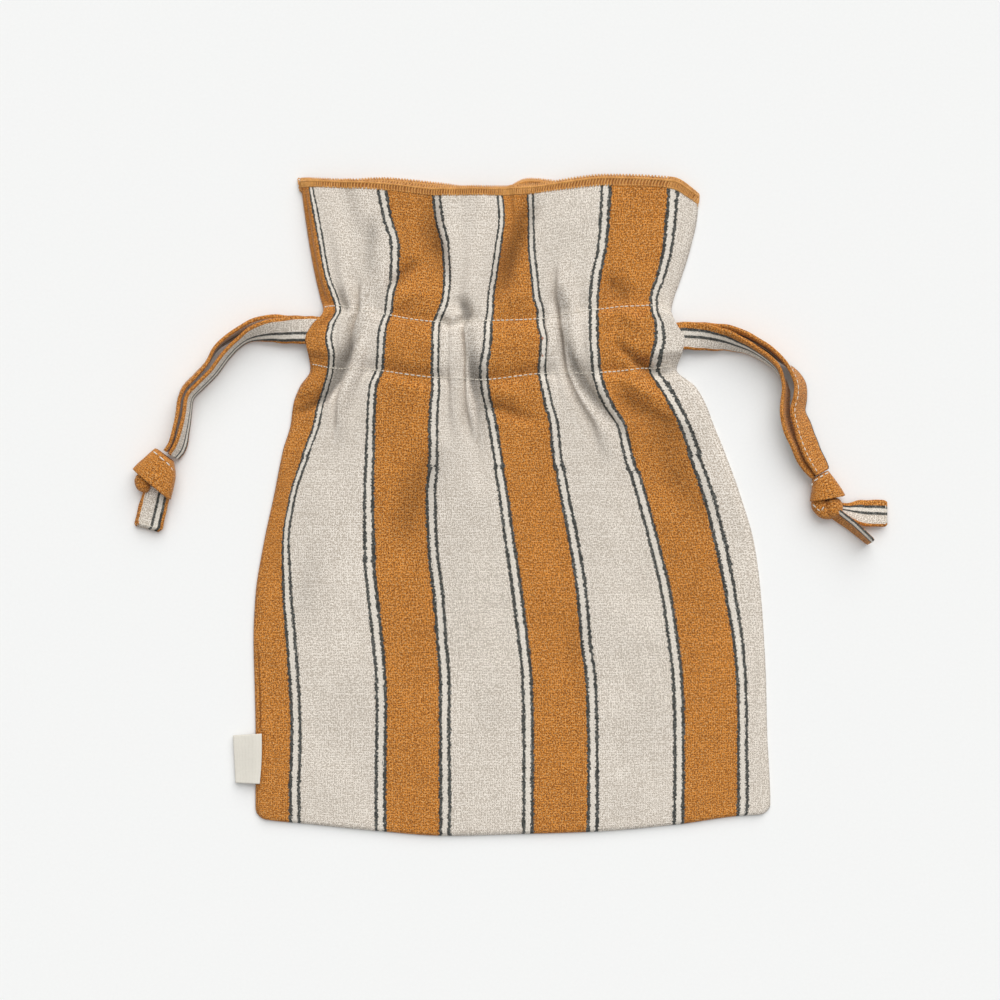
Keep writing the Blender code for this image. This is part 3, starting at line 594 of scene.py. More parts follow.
def crease_lift(crease: Crease, x: Array, y: Array) -> Array:
    """How far one crease moves the cloth up at places on the table."""
    nearest = np.full(np.shape(x), np.inf)
    lift = np.zeros(np.shape(x))
    for (from_x, from_y, from_z), (to_x, to_y, to_z) in zip(crease.path, crease.path[1:]):
        run_x, run_y = to_x - from_x, to_y - from_y
        off_x, off_y = x - from_x, y - from_y
        share = np.clip((off_x * run_x + off_y * run_y) / (run_x**2 + run_y**2), 0.0, 1.0)
        away = np.hypot(off_x - share * run_x, off_y - share * run_y)
        reach = np.where(run_x * off_y - run_y * off_x > 0.0, crease.left, crease.right)
        rise = (from_z + (to_z - from_z) * share) * hump(away, reach)
        lift = np.where(away < nearest, rise, lift)
        nearest = np.minimum(nearest, away)
    return lift


@dataclass
class Panel:
    """The shape of one printed linen panel of the bag.

    Args:
        side: Which panel it is.
        seam_roll: How far from a side seam the cloth curls towards the other panel.
        hem_roll: The same at the bottom seam.
        pucker: Height of the small gathers beside the stitch rows.
        seed: Start of the random draws for the gathers.
        waves: Length, phase and size of each wave of the gathers.
    """

    side: Side
    seam_roll: float = 1.4
    hem_roll: float = 0.49
    pucker: float = 0.32
    seed: int = 7
    waves: list[tuple[float, float, float]] = field(default_factory=list)

    def __post_init__(self) -> None:
        """Draw the wavelengths and phases of the gathers."""
        draws = random.Random(self.seed)
        for length in (4.6, 6.3, 8.8, 13.0):
            length, phase = length * draws.uniform(0.92, 1.08), draws.uniform(0, 6.28)
            self.waves.append((length, phase, draws.uniform(0.5, 1.0)))

    def back_height(self, u: Array, row: Array) -> Array:
        """Height of the solid back panel's middle surface."""
        lift = sum(fold_shift(fold, u, row)[1] for fold in BACK_FOLDS)
        return table_column(HEIGHTS, 4, row) + np.maximum(lift, 0.0)

    def front_height(self, u: Array, row: Array) -> Array:
        """Height of the front panel's middle surface without its folds."""
        left, middle, right = (table_column(HEIGHTS, column, row) for column in (1, 2, 3))
        side = np.where(u < 0.5 * PANEL_WIDTH, left, right)
        inward = ramp_between(0.0, EDGE_RISE, from_seams(u))
        height = side + (middle - side) * inward + PUFF * inward * channel_arch(row)
        for stitch_row in (LOWER_ROW_Y, UPPER_ROW_Y):
            height = height - ROW_DIP * inward * hump(row - stitch_row, ROW_DIP_REACH)
        return height

    def channel_swell(self, u: Array, row: Array) -> Array:
        """How the cloth swells between and above the stitch rows and sinks at them."""
        inward = ramp_between(1.0, 12.0, from_seams(u))
        lift = CHANNEL_SWELL * channel_arch(row)
        lift = lift + BROW_SWELL * hump(row - UPPER_ROW_Y - BROW_ABOVE, BROW_ABOVE)
        for stitch_row, sink in ROW_SINKS:
            lift = lift - sink * hump(row - stitch_row, ROW_SINK_REACH)
        return lift * inward * soft_curve(SWELL_PLACES, SWELL_SHARES, u)

    def hollow(self, spots: Array) -> Array:
        """How much painted shade each point of the front gets from lying deep in a crease, from 0
        to 1.
        """
        x = spots[:, 0] / MM - CENTRE_SHIFT[0]
        y = spots[:, 1] / MM - CENTRE_SHIFT[1]
        depth = -sum(crease_lift(crease, x, y) for crease in CREASES)
        return ramp_between(0.0, HOLLOW_DEPTH, depth)

    def gathers(self, u: Array, row: Array) -> Array:
        """Small uneven gathers that run out of the stitch rows."""
        ripple = sum(
            size * np.sin(2.0 * np.pi * u / length + phase) for length, phase, size in self.waves
        )
        near = hump(row - (LOWER_ROW_Y - 2.0), 9.0) + hump(row - (UPPER_ROW_Y + 2.0), 8.0)
        return self.pucker * 0.5 * ripple * near * ramp_between(2.0, 12.0, from_seams(u))

    def seam_pull(self, u: Array, row: Array) -> Array:
        """How strongly a point is drawn to the seam between the panels, from 0 to 1."""
        open_side = ramp_between(LOWER_ROW_Y - 2.0, LOWER_ROW_Y + 4.0, row)
        open_side = open_side * (1.0 - ramp_between(UPPER_ROW_Y - 2.0, UPPER_ROW_Y + 3.0, row))
        sides = hump(from_seams(u), self.seam_roll) * (1.0 - open_side)
        return np.clip(np.maximum(sides, hump(row - BOTTOM_Y, self.hem_roll)), 0.0, 1.0)

    def place(self, u: Array, row: Array) -> Array:
        """Where points of the panel's middle surface lie.

        Args:
            u: Flat distances across the cloth, in millimetres.
            row: Heights of the points' rows, in the same shape.

        Returns:
            Positions in metres, with one more axis for x, y and z.
        """
        front = self.side is Side.FRONT
        y = row + across(FRONT_DRIFTS if front else BACK_DRIFTS, u, row)
        x = across(SECTIONS, u, y) + self.rounded_corner(u, row)
        back = self.back_height(u, row)
        if front:
            z = self.front_height(u, row) + self.gathers(u, row)
            for fold in FRONT_FOLDS + FINE_FOLDS:
                sideways, up = fold_shift(fold, u, row)
                x = x + sideways
                z = z + up
            creased = sum(crease_lift(crease, x, y) for crease in CREASES)
            z = z + self.channel_swell(u, row) + creased
            lowest = back + SOLID_CLOTH + CLEARANCE + 0.05
            z = lowest + np.logaddexp(0.0, 3.0 * (z - lowest)) / 3.0
            z = z + (SEAM_HEIGHT - z) * self.seam_pull(u, row)
        else:
            ground = 0.5 * LINEN - 0.5 * SOLID_CLOTH
            z = back + ground + 0.25 * np.abs(self.gathers(u, row))
        x = x + CENTRE_SHIFT[0]
        y = y + CENTRE_SHIFT[1]
        return np.stack((x, y, z), axis=-1) * MM

    def rounded_corner(self, u: Array, row: Array) -> Array:
        """How far the two lower corners draw in towards the middle."""
        above = np.clip(row - BOTTOM_Y, 0.0, CORNER_RADIUS)
        inset = CORNER_RADIUS - np.sqrt(CORNER_RADIUS**2 - (CORNER_RADIUS - above) ** 2)
        left = np.maximum(0.0, 1.0 - u / (3.0 * CORNER_RADIUS))
        right = np.maximum(0.0, 1.0 - (PANEL_WIDTH - u) / (3.0 * CORNER_RADIUS))
        return inset * (left**2 - right**2)

    def normal(self, u: Array, row: Array, step: float = 0.3) -> Array:
        """Upward directions square to the cloth at flat places."""
        along_u = self.place(u + step, row) - self.place(u - step, row)
        along_row = self.place(u, row + step) - self.place(u, row - step)
        out = np.cross(along_u, along_row)
        return out / np.maximum(np.linalg.norm(out, axis=-1, keepdims=True), 1e-12)


class Graph:
    """Adds shader nodes to one tree and wires them."""

    def __init__(self, tree: bpy.types.NodeTree) -> None:
        """Keep the tree that the nodes go into."""
        self.tree = tree

    def node(self, kind: str, **settings: object) -> bpy.types.Node:
        """Add a node and set its options."""
        made = self.tree.nodes.new(kind)
        for name, value in settings.items():
            setattr(made, name, value)
        return made

    def feed(self, socket: Socket, value: object) -> None:
        """Link a socket into an input, or set the input's own value."""
        if isinstance(value, Socket):
            self.tree.links.new(value, socket)
        else:
            socket.default_value = value

    def named(self, made: bpy.types.Node, **values: object) -> bpy.types.Node:
        """Feed a node's inputs by name, with an underscore for each space."""
        for name, value in values.items():
            self.feed(made.inputs[name.replace("_", " ")], value)
        return made

    def fed(self, kind: str, *values: object, **settings: object) -> Socket:
        """Add a node, feed its inputs in their order and give its first output."""
        made = self.node(kind, **settings)
        for socket, value in zip(made.inputs, values):
            self.feed(socket, value)
        return made.outputs[0]

    def math(self, operation: str, *values: object, clamp: bool = False) -> Socket:
        """Combine values with one Math node."""
        return self.fed("ShaderNodeMath", *values, operation=operation, use_clamp=clamp)

    plus = partialmethod(math, "ADD")
    minus = partialmethod(math, "SUBTRACT")
    rest = partialmethod(math, "SUBTRACT", 1.0)
    times = partialmethod(math, "MULTIPLY")
    times_plus = partialmethod(math, "MULTIPLY_ADD")
    parted = partialmethod(math, "DIVIDE")
    floor = partialmethod(math, "FLOOR")
    size = partialmethod(math, "ABSOLUTE")
    most = partialmethod(math, "MAXIMUM")

    def mix(self, share: object, first: object, second: object, mode: str = "MIX") -> Socket:
        """Mix two colours."""
        made = self.node("ShaderNodeMix", data_type="RGBA", blend_type=mode)
        for place, value in ((0, share), (6, first), (7, second)):
            self.feed(made.inputs[place], value)
        return made.outputs[2]

    def smooth(
        self, value: object, low: float, high: float, from_value: float = 0.0, to_value: float = 1.0
    ) -> Socket:
        """Map a range of a value onto another with soft ends."""
        parts = (value, low, high, from_value, to_value)
        return self.fed("ShaderNodeMapRange", *parts, interpolation_type="SMOOTHSTEP")

    def noise(
        self, vector: object, scale: float, detail: float = 2.0, roughness: float = 0.5
    ) -> Socket:
        """Soft noise from 0 to 1."""
        made = self.node("ShaderNodeTexNoise")
        self.named(made, Vector=vector, Scale=scale, Detail=detail, Roughness=roughness)
        return made.outputs["Fac"]

    def white(self, vector: object) -> Socket:
        """A separate random value from 0 to 1 for each place."""
        made = self.node("ShaderNodeTexWhiteNoise", noise_dimensions="3D")
        return self.named(made, Vector=vector).outputs["Value"]

    def split(self, vector: object) -> tuple[Socket, Socket, Socket]:
        """Split a vector into its three values."""
        return tuple(self.named(self.node("ShaderNodeSeparateXYZ"), Vector=vector).outputs)

    def join(self, x: object, y: object = 0.0, z: object = 0.0) -> Socket:
        """Join three values into a vector."""
        return self.fed("ShaderNodeCombineXYZ", x, y, z)

    def cloth(self) -> Socket:
        """The flat position on the cloth."""
        return self.node("ShaderNodeUVMap", uv_map="cloth").outputs[0]

    def group(self, tree: bpy.types.NodeTree, **values: object) -> bpy.types.Node:
        """Place a node group and feed its named inputs."""
        return self.named(self.node("ShaderNodeGroup", node_tree=tree), **values)

    def bump(
        self, height: object, strength: float = CLOTH_BUMP, distance: float = CLOTH_RELIEF
    ) -> Socket:
        """Turn a height into a normal, with the relief's depth in millimetres."""
        made = self.node("ShaderNodeBump")
        self.named(made, Strength=strength, Distance=distance * MM, Height=height)
        return made.outputs["Normal"]


def new_group(
    name: str, sizes: Sequence[str], outputs: Sequence[str]
) -> tuple[Graph, bpy.types.Node, bpy.types.Node]:
    """Make a shader node group whose first input is a flat position on the cloth.

    Args:
        name: The group's name.
        sizes: Names of its other inputs, each a plain value.
        outputs: Names of its outputs, each a plain value.

    Returns:
        The graph to build in, its input node and its output node.
    """
    tree = bpy.data.node_groups.new(name, "ShaderNodeTree")
    tree.interface.new_socket("Cloth", in_out="INPUT", socket_type="NodeSocketVector")
    for way, names in (("INPUT", sizes), ("OUTPUT", outputs)):
        for socket in names:
            tree.interface.new_socket(socket, in_out=way, socket_type="NodeSocketFloat")
    graph = Graph(tree)
    return graph, graph.node("NodeGroupInput"), graph.node("NodeGroupOutput")


def weave_group() -> bpy.types.NodeTree:
    """Plain weave from a flat position: thread height, open pores and the tone of each thread."""
    graph, source, target = new_group("PlainWeave", ("Warp", "Weft"), ("Height", "Pore", "Tone"))
    cloth, warp_pitch, weft_pitch = source.outputs[:3]
    x, y, _ = graph.split(cloth)
    shifted = graph.join(graph.plus(x, 3.1), graph.plus(y, 1.7))
    rounds, cells = [], []
    for at, along, pitch in ((cloth, x, warp_pitch), (shifted, y, weft_pitch)):
        wander = graph.minus(graph.noise(at, 330.0), 0.5)
        thread = graph.times_plus(wander, 1.5, graph.parted(along, pitch))
        rounds.append(graph.size(graph.math("SINE", graph.times(thread, math.pi))))
        cells.append(graph.floor(thread))
    (round_x, round_y), (cell_x, cell_y) = rounds, cells
    chance = graph.white(graph.join(cell_x, cell_y))
    over = graph.math("FLOORED_MODULO", graph.plus(cell_x, cell_y), 2.0)
    under = graph.rest(over)

    def on_top(warp: Socket, weft: Socket) -> Socket:
        """The value of the thread that lies on top."""
        return graph.plus(graph.times(warp, over), graph.times(weft, under))

    warp_top = graph.times(graph.math("POWER", round_x, 0.6), graph.times_plus(round_y, 0.5, 0.5))
    weft_top = graph.times(graph.math("POWER", round_y, 0.6), graph.times_plus(round_x, 0.5, 0.5))
    height = graph.times(on_top(warp_top, weft_top), graph.times_plus(chance, 0.5, 0.6))
    pore = graph.times(graph.rest(round_x), graph.rest(round_y))
    pore = graph.smooth(graph.times(pore, graph.times_plus(chance, 1.3, 0.35)), 0.1, 0.6)
    warp_at = graph.join(graph.times(cell_x, 3.7), graph.times(y, 60.0))
    weft_at = graph.join(graph.times(x, 60.0), graph.times(cell_y, 3.7), 9.0)
    slub = on_top(graph.noise(warp_at, 1.0, 3.0, 0.7), graph.noise(weft_at, 1.0, 3.0, 0.7))
    tone = graph.times_plus(graph.smooth(slub, 0.25, 0.75), 0.45, graph.times(chance, 0.55))
    graph.named(target, Height=height, Pore=pore, Tone=tone)
    return graph.tree


def stripe_group() -> bpy.types.NodeTree:
    """The block print from a flat position: ochre bands, dark line pairs and bare gaps."""
    graph, source, target = new_group("BlockPrint", (), ("Ochre", "Line", "Gap"))
    cloth = source.outputs[0]
    x, y, _ = graph.split(cloth)
    ragged = graph.minus(graph.noise(cloth, 700.0, 2.0, 0.7), 0.5)
    drift = graph.minus(graph.noise(cloth, 45.0, 1.0), 0.5)
    pick, end = graph.floor(graph.parted(y, 0.62 * MM)), graph.floor(graph.parted(x, 1.1 * MM))
    serration = graph.minus(graph.white(graph.join(pick, end)), 0.5)
    shift = graph.plus(graph.times(drift, 0.5 * MM), graph.times(serration, 0.6 * MM))
    printed = graph.plus(x, graph.plus(shift, graph.times(ragged, 0.75 * MM)))
    ochre: object = 0.0
    nearest: object = 1.0
    blot: object = 0.0
    for number, (edge, jog_y, jog) in enumerate(PRINT_JOGS):
        sign = 1.0 if number % 2 == 0 else -1.0
        jog_at = (jog_y - BOTTOM_Y) * MM
        local = graph.times_plus(graph.math("GREATER_THAN", y, jog_at), jog * MM, printed)
        border = (edge - sign * PRINT_LINE_OFFSET) * MM
        side = graph.smooth(local, border - 0.15 * MM, border + 0.15 * MM)
        ochre = graph.plus(ochre, graph.times(side, -sign))
        away = graph.size(graph.minus(local, edge * MM))
        nearest = graph.math("MINIMUM", nearest, away)
        beside = graph.rest(graph.smooth(away, 2.0 * MM, 3.6 * MM))
        at_jog = graph.rest(graph.smooth(graph.size(graph.minus(y, jog_at)), 0.5 * MM, 1.6 * MM))
        blot = graph.most(blot, graph.times(beside, at_jog))
    ochre = graph.plus(ochre, 1.0, clamp=True)
    from_line = graph.size(graph.minus(nearest, PRINT_LINE_OFFSET * MM))
    width = graph.times_plus(graph.noise(cloth, 260.0), 0.4 * MM, 0.47 * MM)
    width = graph.times_plus(blot, 0.45 * MM, width)
    outside = graph.minus(from_line, graph.times(width, 0.75))
    line = graph.rest(graph.parted(outside, graph.times(width, 0.5)), clamp=True)
    gap = graph.rest(graph.smooth(nearest, 1.0 * MM, 1.5 * MM))
    graph.named(target, Ochre=ochre, Line=line, Gap=gap)
    return graph.tree


@dataclass(frozen=True)
class Dye:
    """Colours of the cloth and its print, as linear values."""

    ochre: Colour = (0.75, 0.283, 0.040, 1.0)
    ochre_thin: Colour = (0.95, 0.60, 0.25, 1.0)
    ochre_deep: Colour = (0.125, 0.031, 0.004, 1.0)
    natural: Colour = (0.945, 0.87, 0.775, 1.0)
    natural_deep: Colour = (0.39, 0.325, 0.255, 1.0)
    bare: Colour = (0.86, 0.80, 0.71, 1.0)
    charcoal: Colour = (0.034, 0.037, 0.034, 1.0)
    charcoal_worn: Colour = (0.17, 0.17, 0.155, 1.0)
    rust: Colour = (0.36, 0.10, 0.035, 1.0)
    label: Colour = (0.79, 0.75, 0.665, 1.0)
    label_deep: Colour = (0.56, 0.52, 0.44, 1.0)


@dataclass(frozen=True)
class Yarn:
    """Look of a sewing thread: colour of its plies and between them, and roughness."""

    light: Colour
    deep: Colour
    roughness: float


GOLDEN = Yarn((0.80, 0.40, 0.095, 1.0), (0.50, 0.20, 0.028, 1.0), 0.45)
# The rolled mouth edge is a dark brown, far darker than its ochre cloth: painted shade in the gaps
# between the overlock threads
ROLL_PAINTED_SHADE = Yarn((0.46, 0.18, 0.028, 1.0), (0.27, 0.09, 0.014, 1.0), 0.8)
CREAM = Yarn((0.84, 0.80, 0.71, 1.0), (0.60, 0.53, 0.43, 1.0), 0.6)


@dataclass
class Finishes:
    """Makes each material of the pouch once."""

    dye: Dye = field(default_factory=Dye)
    weave: bpy.types.NodeTree | None = None
    stripes: bpy.types.NodeTree | None = None

    def __post_init__(self) -> None:
        """Build the shared node groups."""
        self.weave = weave_group()
        self.stripes = stripe_group()

    @staticmethod
    def start(
        name: str, roughness: float = 0.9, sheen: float = 0.12
    ) -> tuple[Material, Graph, bpy.types.Node]:
        """A new material with its graph and shader, with the constants set on the shader."""
        material = bpy.data.materials.new(name)
        material.use_nodes = True
        graph, shader = Graph(material.node_tree), material.node_tree.nodes["Principled BSDF"]
        graph.named(shader, Roughness=roughness, Specular_IOR_Level=0.25)
        graph.named(shader, Sheen_Weight=sheen, Sheen_Roughness=0.5)
        return material, graph, shader

    def cloth_colour(
        self, graph: Graph, flat: Socket, ochre: object, line: object, gap: object
    ) -> tuple[Socket, Socket]:
        """Colour and height of printed linen.

        Args:
            graph: The material's graph.
            flat: Flat position on the cloth.
            ochre: Where the ochre print lies.
            line: Where the dark lines lie.
            gap: Where the cloth is bare between the lines.

        Returns:
            The colour socket and the height socket.
        """
        weave = graph.group(self.weave, Cloth=flat, Warp=WARP_PITCH * MM, Weft=WEFT_PITCH * MM)
        height, pore, tone = weave.outputs[:3]
        fleck = graph.smooth(graph.noise(flat, 1700.0, 2.0, 0.8), 0.4, 0.6)
        shade = graph.smooth(graph.times_plus(fleck, 0.5, graph.times(tone, 0.5)), 0.24, 0.74)
        deep = graph.times_plus(pore, 0.75, graph.times(graph.rest(shade), 0.8), clamp=True)
        natural = graph.mix(deep, self.dye.natural, self.dye.natural_deep)
        bare = graph.mix(graph.times(deep, 0.6), self.dye.bare, self.dye.natural_deep)
        ground = graph.mix(gap, natural, bare)
        ochre_print = graph.mix(deep, self.dye.ochre, self.dye.ochre_deep)
        missed = graph.smooth(graph.noise(flat, 1450.0, 2.0, 0.8), 0.52, 0.66)
        ochre_print = graph.mix(graph.times(missed, 0.55), ochre_print, self.dye.ochre_thin)
        colour = graph.mix(ochre, ground, ochre_print)
        worn = graph.smooth(graph.times_plus(fleck, 0.6, tone), 0.75, 1.4)
        dark = graph.mix(worn, self.dye.charcoal, self.dye.charcoal_worn)
        thin = graph.times(graph.rest(height), 0.35)
        chance = graph.times(graph.minus(fleck, 0.5), 0.7)
        ragged = graph.plus(graph.minus(line, thin), chance)
        return graph.mix(graph.smooth(ragged, 0.15, 0.55), colour, dark), height

    def printed_linen(self) -> Material:
        """The panels' linen, printed in stripes along the length."""
        material, graph, shader = self.start("printed_linen")
        flat = graph.cloth()
        stripes = graph.group(self.stripes, Cloth=flat)
        colour, height = self.cloth_colour(graph, flat, *stripes.outputs[:3])
        x, y, _ = graph.split(flat)
        for spot_x, spot_y, radius in RUST_SPECKS:
            spot = (spot_x * MM, (spot_y - BOTTOM_Y) * MM, 0.0)
            offset = graph.node("ShaderNodeVectorMath", operation="DISTANCE")
            graph.feed(offset.inputs[0], flat)
            graph.feed(offset.inputs[1], spot)
            away = offset.outputs["Value"]
            speck = graph.rest(graph.smooth(away, 0.4 * radius * MM, radius * MM))
            colour = graph.mix(graph.times(speck, 0.75), colour, self.dye.rust)
        # Painted shade of the left side seam's groove: a thin line of deep ochre mixed into the
        # colour, while the same mask also sinks the relief
        seam_low = graph.smooth(y, 36.0 * MM, 46.0 * MM)
        seam_high = graph.smooth(y, 70.0 * MM, 78.0 * MM)
        from_seam = graph.size(graph.minus(x, 2.2 * MM))
        seam = graph.rest(graph.smooth(from_seam, 0.12 * MM, 0.4 * MM))
        seam = graph.times(seam, graph.minus(seam_low, seam_high))
        colour = graph.mix(graph.times(seam, 0.7), colour, self.dye.ochre_deep)
        mottle_and_crease_shade = graph.smooth(graph.noise(flat, 30.0, 3.0), 0.2, 0.8, 0.93, 1.05)
        # Painted shade: the linen's colour is multiplied darker where the front lies deep in a
        # crease, on top of its random mottle
        hollow = graph.node("ShaderNodeAttribute", attribute_name="hollow").outputs["Fac"]
        mottle_and_crease_shade = graph.times(mottle_and_crease_shade, graph.times_plus(hollow, -HOLLOW_SHADE, 1.0))
        toned = graph.mix(1.0, colour, graph.join(mottle_and_crease_shade, mottle_and_crease_shade, mottle_and_crease_shade), mode="MULTIPLY")
        relief = graph.minus(height, graph.times(seam, 1.5))
        graph.named(shader, Base_Color=toned, Normal=graph.bump(relief))
        return material

    def tape_linen(
        self, name: str, pair_at: float, ochre_before: bool, rim_line: bool = False
    ) -> Material:
        """The ties' folded tape: one face with a line pair, the other plain ochre.

        Args:
            name: The material's name.
            pair_at: How far across the printed face the line pair lies, in millimetres.
            ochre_before: Whether the ochre lies before the pair or after it.
            rim_line: Whether a dark line follows the far rim of the plain face.

        Returns:
            The material.
        """
        material, graph, shader = self.start(name)
        flat = graph.cloth()
        x, _, _ = graph.split(flat)
        rough_edge = graph.minus(graph.noise(flat, 520.0, 3.0, 0.7), 0.5)
        printed = graph.times_plus(rough_edge, 0.4 * MM, x)
        beyond = graph.smooth(x, 10.75 * MM, 11.05 * MM)
        border = (pair_at + (-PRINT_LINE_OFFSET if ochre_before else PRINT_LINE_OFFSET)) * MM
        after = graph.smooth(printed, border - 0.2 * MM, border + 0.2 * MM)
        side = graph.rest(after) if ochre_before else after
        rim = graph.rest(graph.smooth(x, 0.25 * MM, 0.5 * MM))
        ochre = graph.most(graph.most(side, beyond), rim)
        away = graph.size(graph.minus(printed, pair_at * MM))
        from_line = graph.size(graph.minus(away, PRINT_LINE_OFFSET * 0.82 * MM))
        line = graph.rest(graph.smooth(from_line, 0.32 * MM, 0.8 * MM))
        if rim_line:
            at_rim = graph.size(graph.minus(printed, 21.9 * MM))
            line = graph.most(line, graph.rest(graph.smooth(at_rim, 0.3 * MM, 0.75 * MM)))
        gap = graph.rest(graph.smooth(away, 0.9 * MM, 1.4 * MM))
        colour, height = self.cloth_colour(graph, flat, ochre, line, gap)
        graph.named(shader, Base_Color=colour, Normal=graph.bump(height))
        return material

    def plain_ochre(self) -> Material:
        """The knots' wrapped tape, ochre side out."""
        material, graph, shader = self.start("knot_linen")
        colour, height = self.cloth_colour(graph, graph.cloth(), 1.0, 0.0, 0.0)
        graph.named(shader, Base_Color=colour, Normal=graph.bump(height))
        return material

    def thread(self, name: str, yarn: Yarn) -> Material:
        """Twisted sewing thread, lighter along its plies."""
        material, graph, shader = self.start(name, yarn.roughness, 0.3)
        place = graph.node("ShaderNodeTexCoord").outputs["Object"]
        streak = graph.smooth(graph.noise(place, 2600.0, 2.0, 0.6), 0.3, 0.7)
        patch = graph.smooth(graph.noise(place, 320.0, 2.0, 0.6), 0.3, 0.7)
        share = graph.times_plus(streak, 0.55, graph.times(patch, 0.45))
        graph.named(
            shader,
            Specular_IOR_Level=0.5,
            Base_Color=graph.mix(share, yarn.deep, yarn.light),
            Roughness=graph.smooth(patch, 0.0, 1.0, yarn.roughness + 0.12, yarn.roughness - 0.08),
            Normal=graph.bump(streak, 0.4, 0.08),
        )
        return material

    def label_tape(self) -> Material:
        """The label's close woven cream tape, bare."""
        material, graph, shader = self.start("label_tape", 0.8, 0.2)
        flat = graph.cloth()
        weave = graph.group(self.weave, Cloth=flat, Warp=0.5 * MM, Weft=0.38 * MM)
        fleck = graph.noise(flat, 900.0, 3.0, 0.7)
        share = graph.times_plus(weave.outputs["Pore"], 0.25, graph.times(fleck, 0.35))
        colour = graph.mix(share, self.dye.label, self.dye.label_deep)
        relief = graph.bump(weave.outputs["Height"], 0.25, 0.08)
        graph.named(shader, Base_Color=colour, Normal=relief)
        return material


def finish_object(name: str, shape: Shape, material: Material) -> Piece:
    """Turn a bmesh into a smooth named piece that rides on the pouch.

    Args:
        name: The piece's name.
        shape: Its geometry, in metres and in place.
        material: Its finish.

    Returns:
        The linked object.
    """
    mesh = bpy.data.meshes.new(name)
    shape.to_mesh(mesh)
    shape.free()
    mesh.materials.append(material)
    mesh.shade_smooth()
    made = bpy.data.objects.new(name, mesh)
    bpy.context.scene.collection.objects.link(made)
    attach(made, "root")
    return made


def mapped_grid(columns: Array, rows: Array, place: Callable[[Array, Array], Array]) -> Shape:
    """A grid of faces laid out by a function, with its flat position as the cloth UV map.

    Args:
        columns: Flat distances of the grid's lines across.
        rows: Flat distances of the grid's lines along.
        place: Gives positions in metres for arrays of flat places in millimetres.

    Returns:
        The grid, in place.
    """
    grid = bmesh.new()
    bmesh.ops.create_grid(grid, x_segments=len(columns) - 1, y_segments=len(rows) - 1, size=0.5)
    i = [round((vertex.co.x + 0.5) * (len(columns) - 1)) for vertex in grid.verts]
    j = [round((vertex.co.y + 0.5) * (len(rows) - 1)) for vertex in grid.verts]
    flat_x, flat_y = columns[i], rows[j]
    spots = place(flat_x, flat_y)
    layer = grid.loops.layers.uv.new("cloth")
    for vertex, spot in zip(grid.verts, spots):
        vertex.co = spot
    low = rows.min()
    for face in grid.faces:
        for loop in face.loops:
            k = loop.vert.index
            loop[layer].uv = (flat_x[k] * MM, (flat_y[k] - low) * MM)
    return grid


def add_thickness(piece: Piece, thickness: float) -> None:
    """Give a sheet its two faces and rim."""
    wall = piece.modifiers.new("Thickness", "SOLIDIFY")
    wall.thickness = thickness * MM
    wall.offset = 0.0


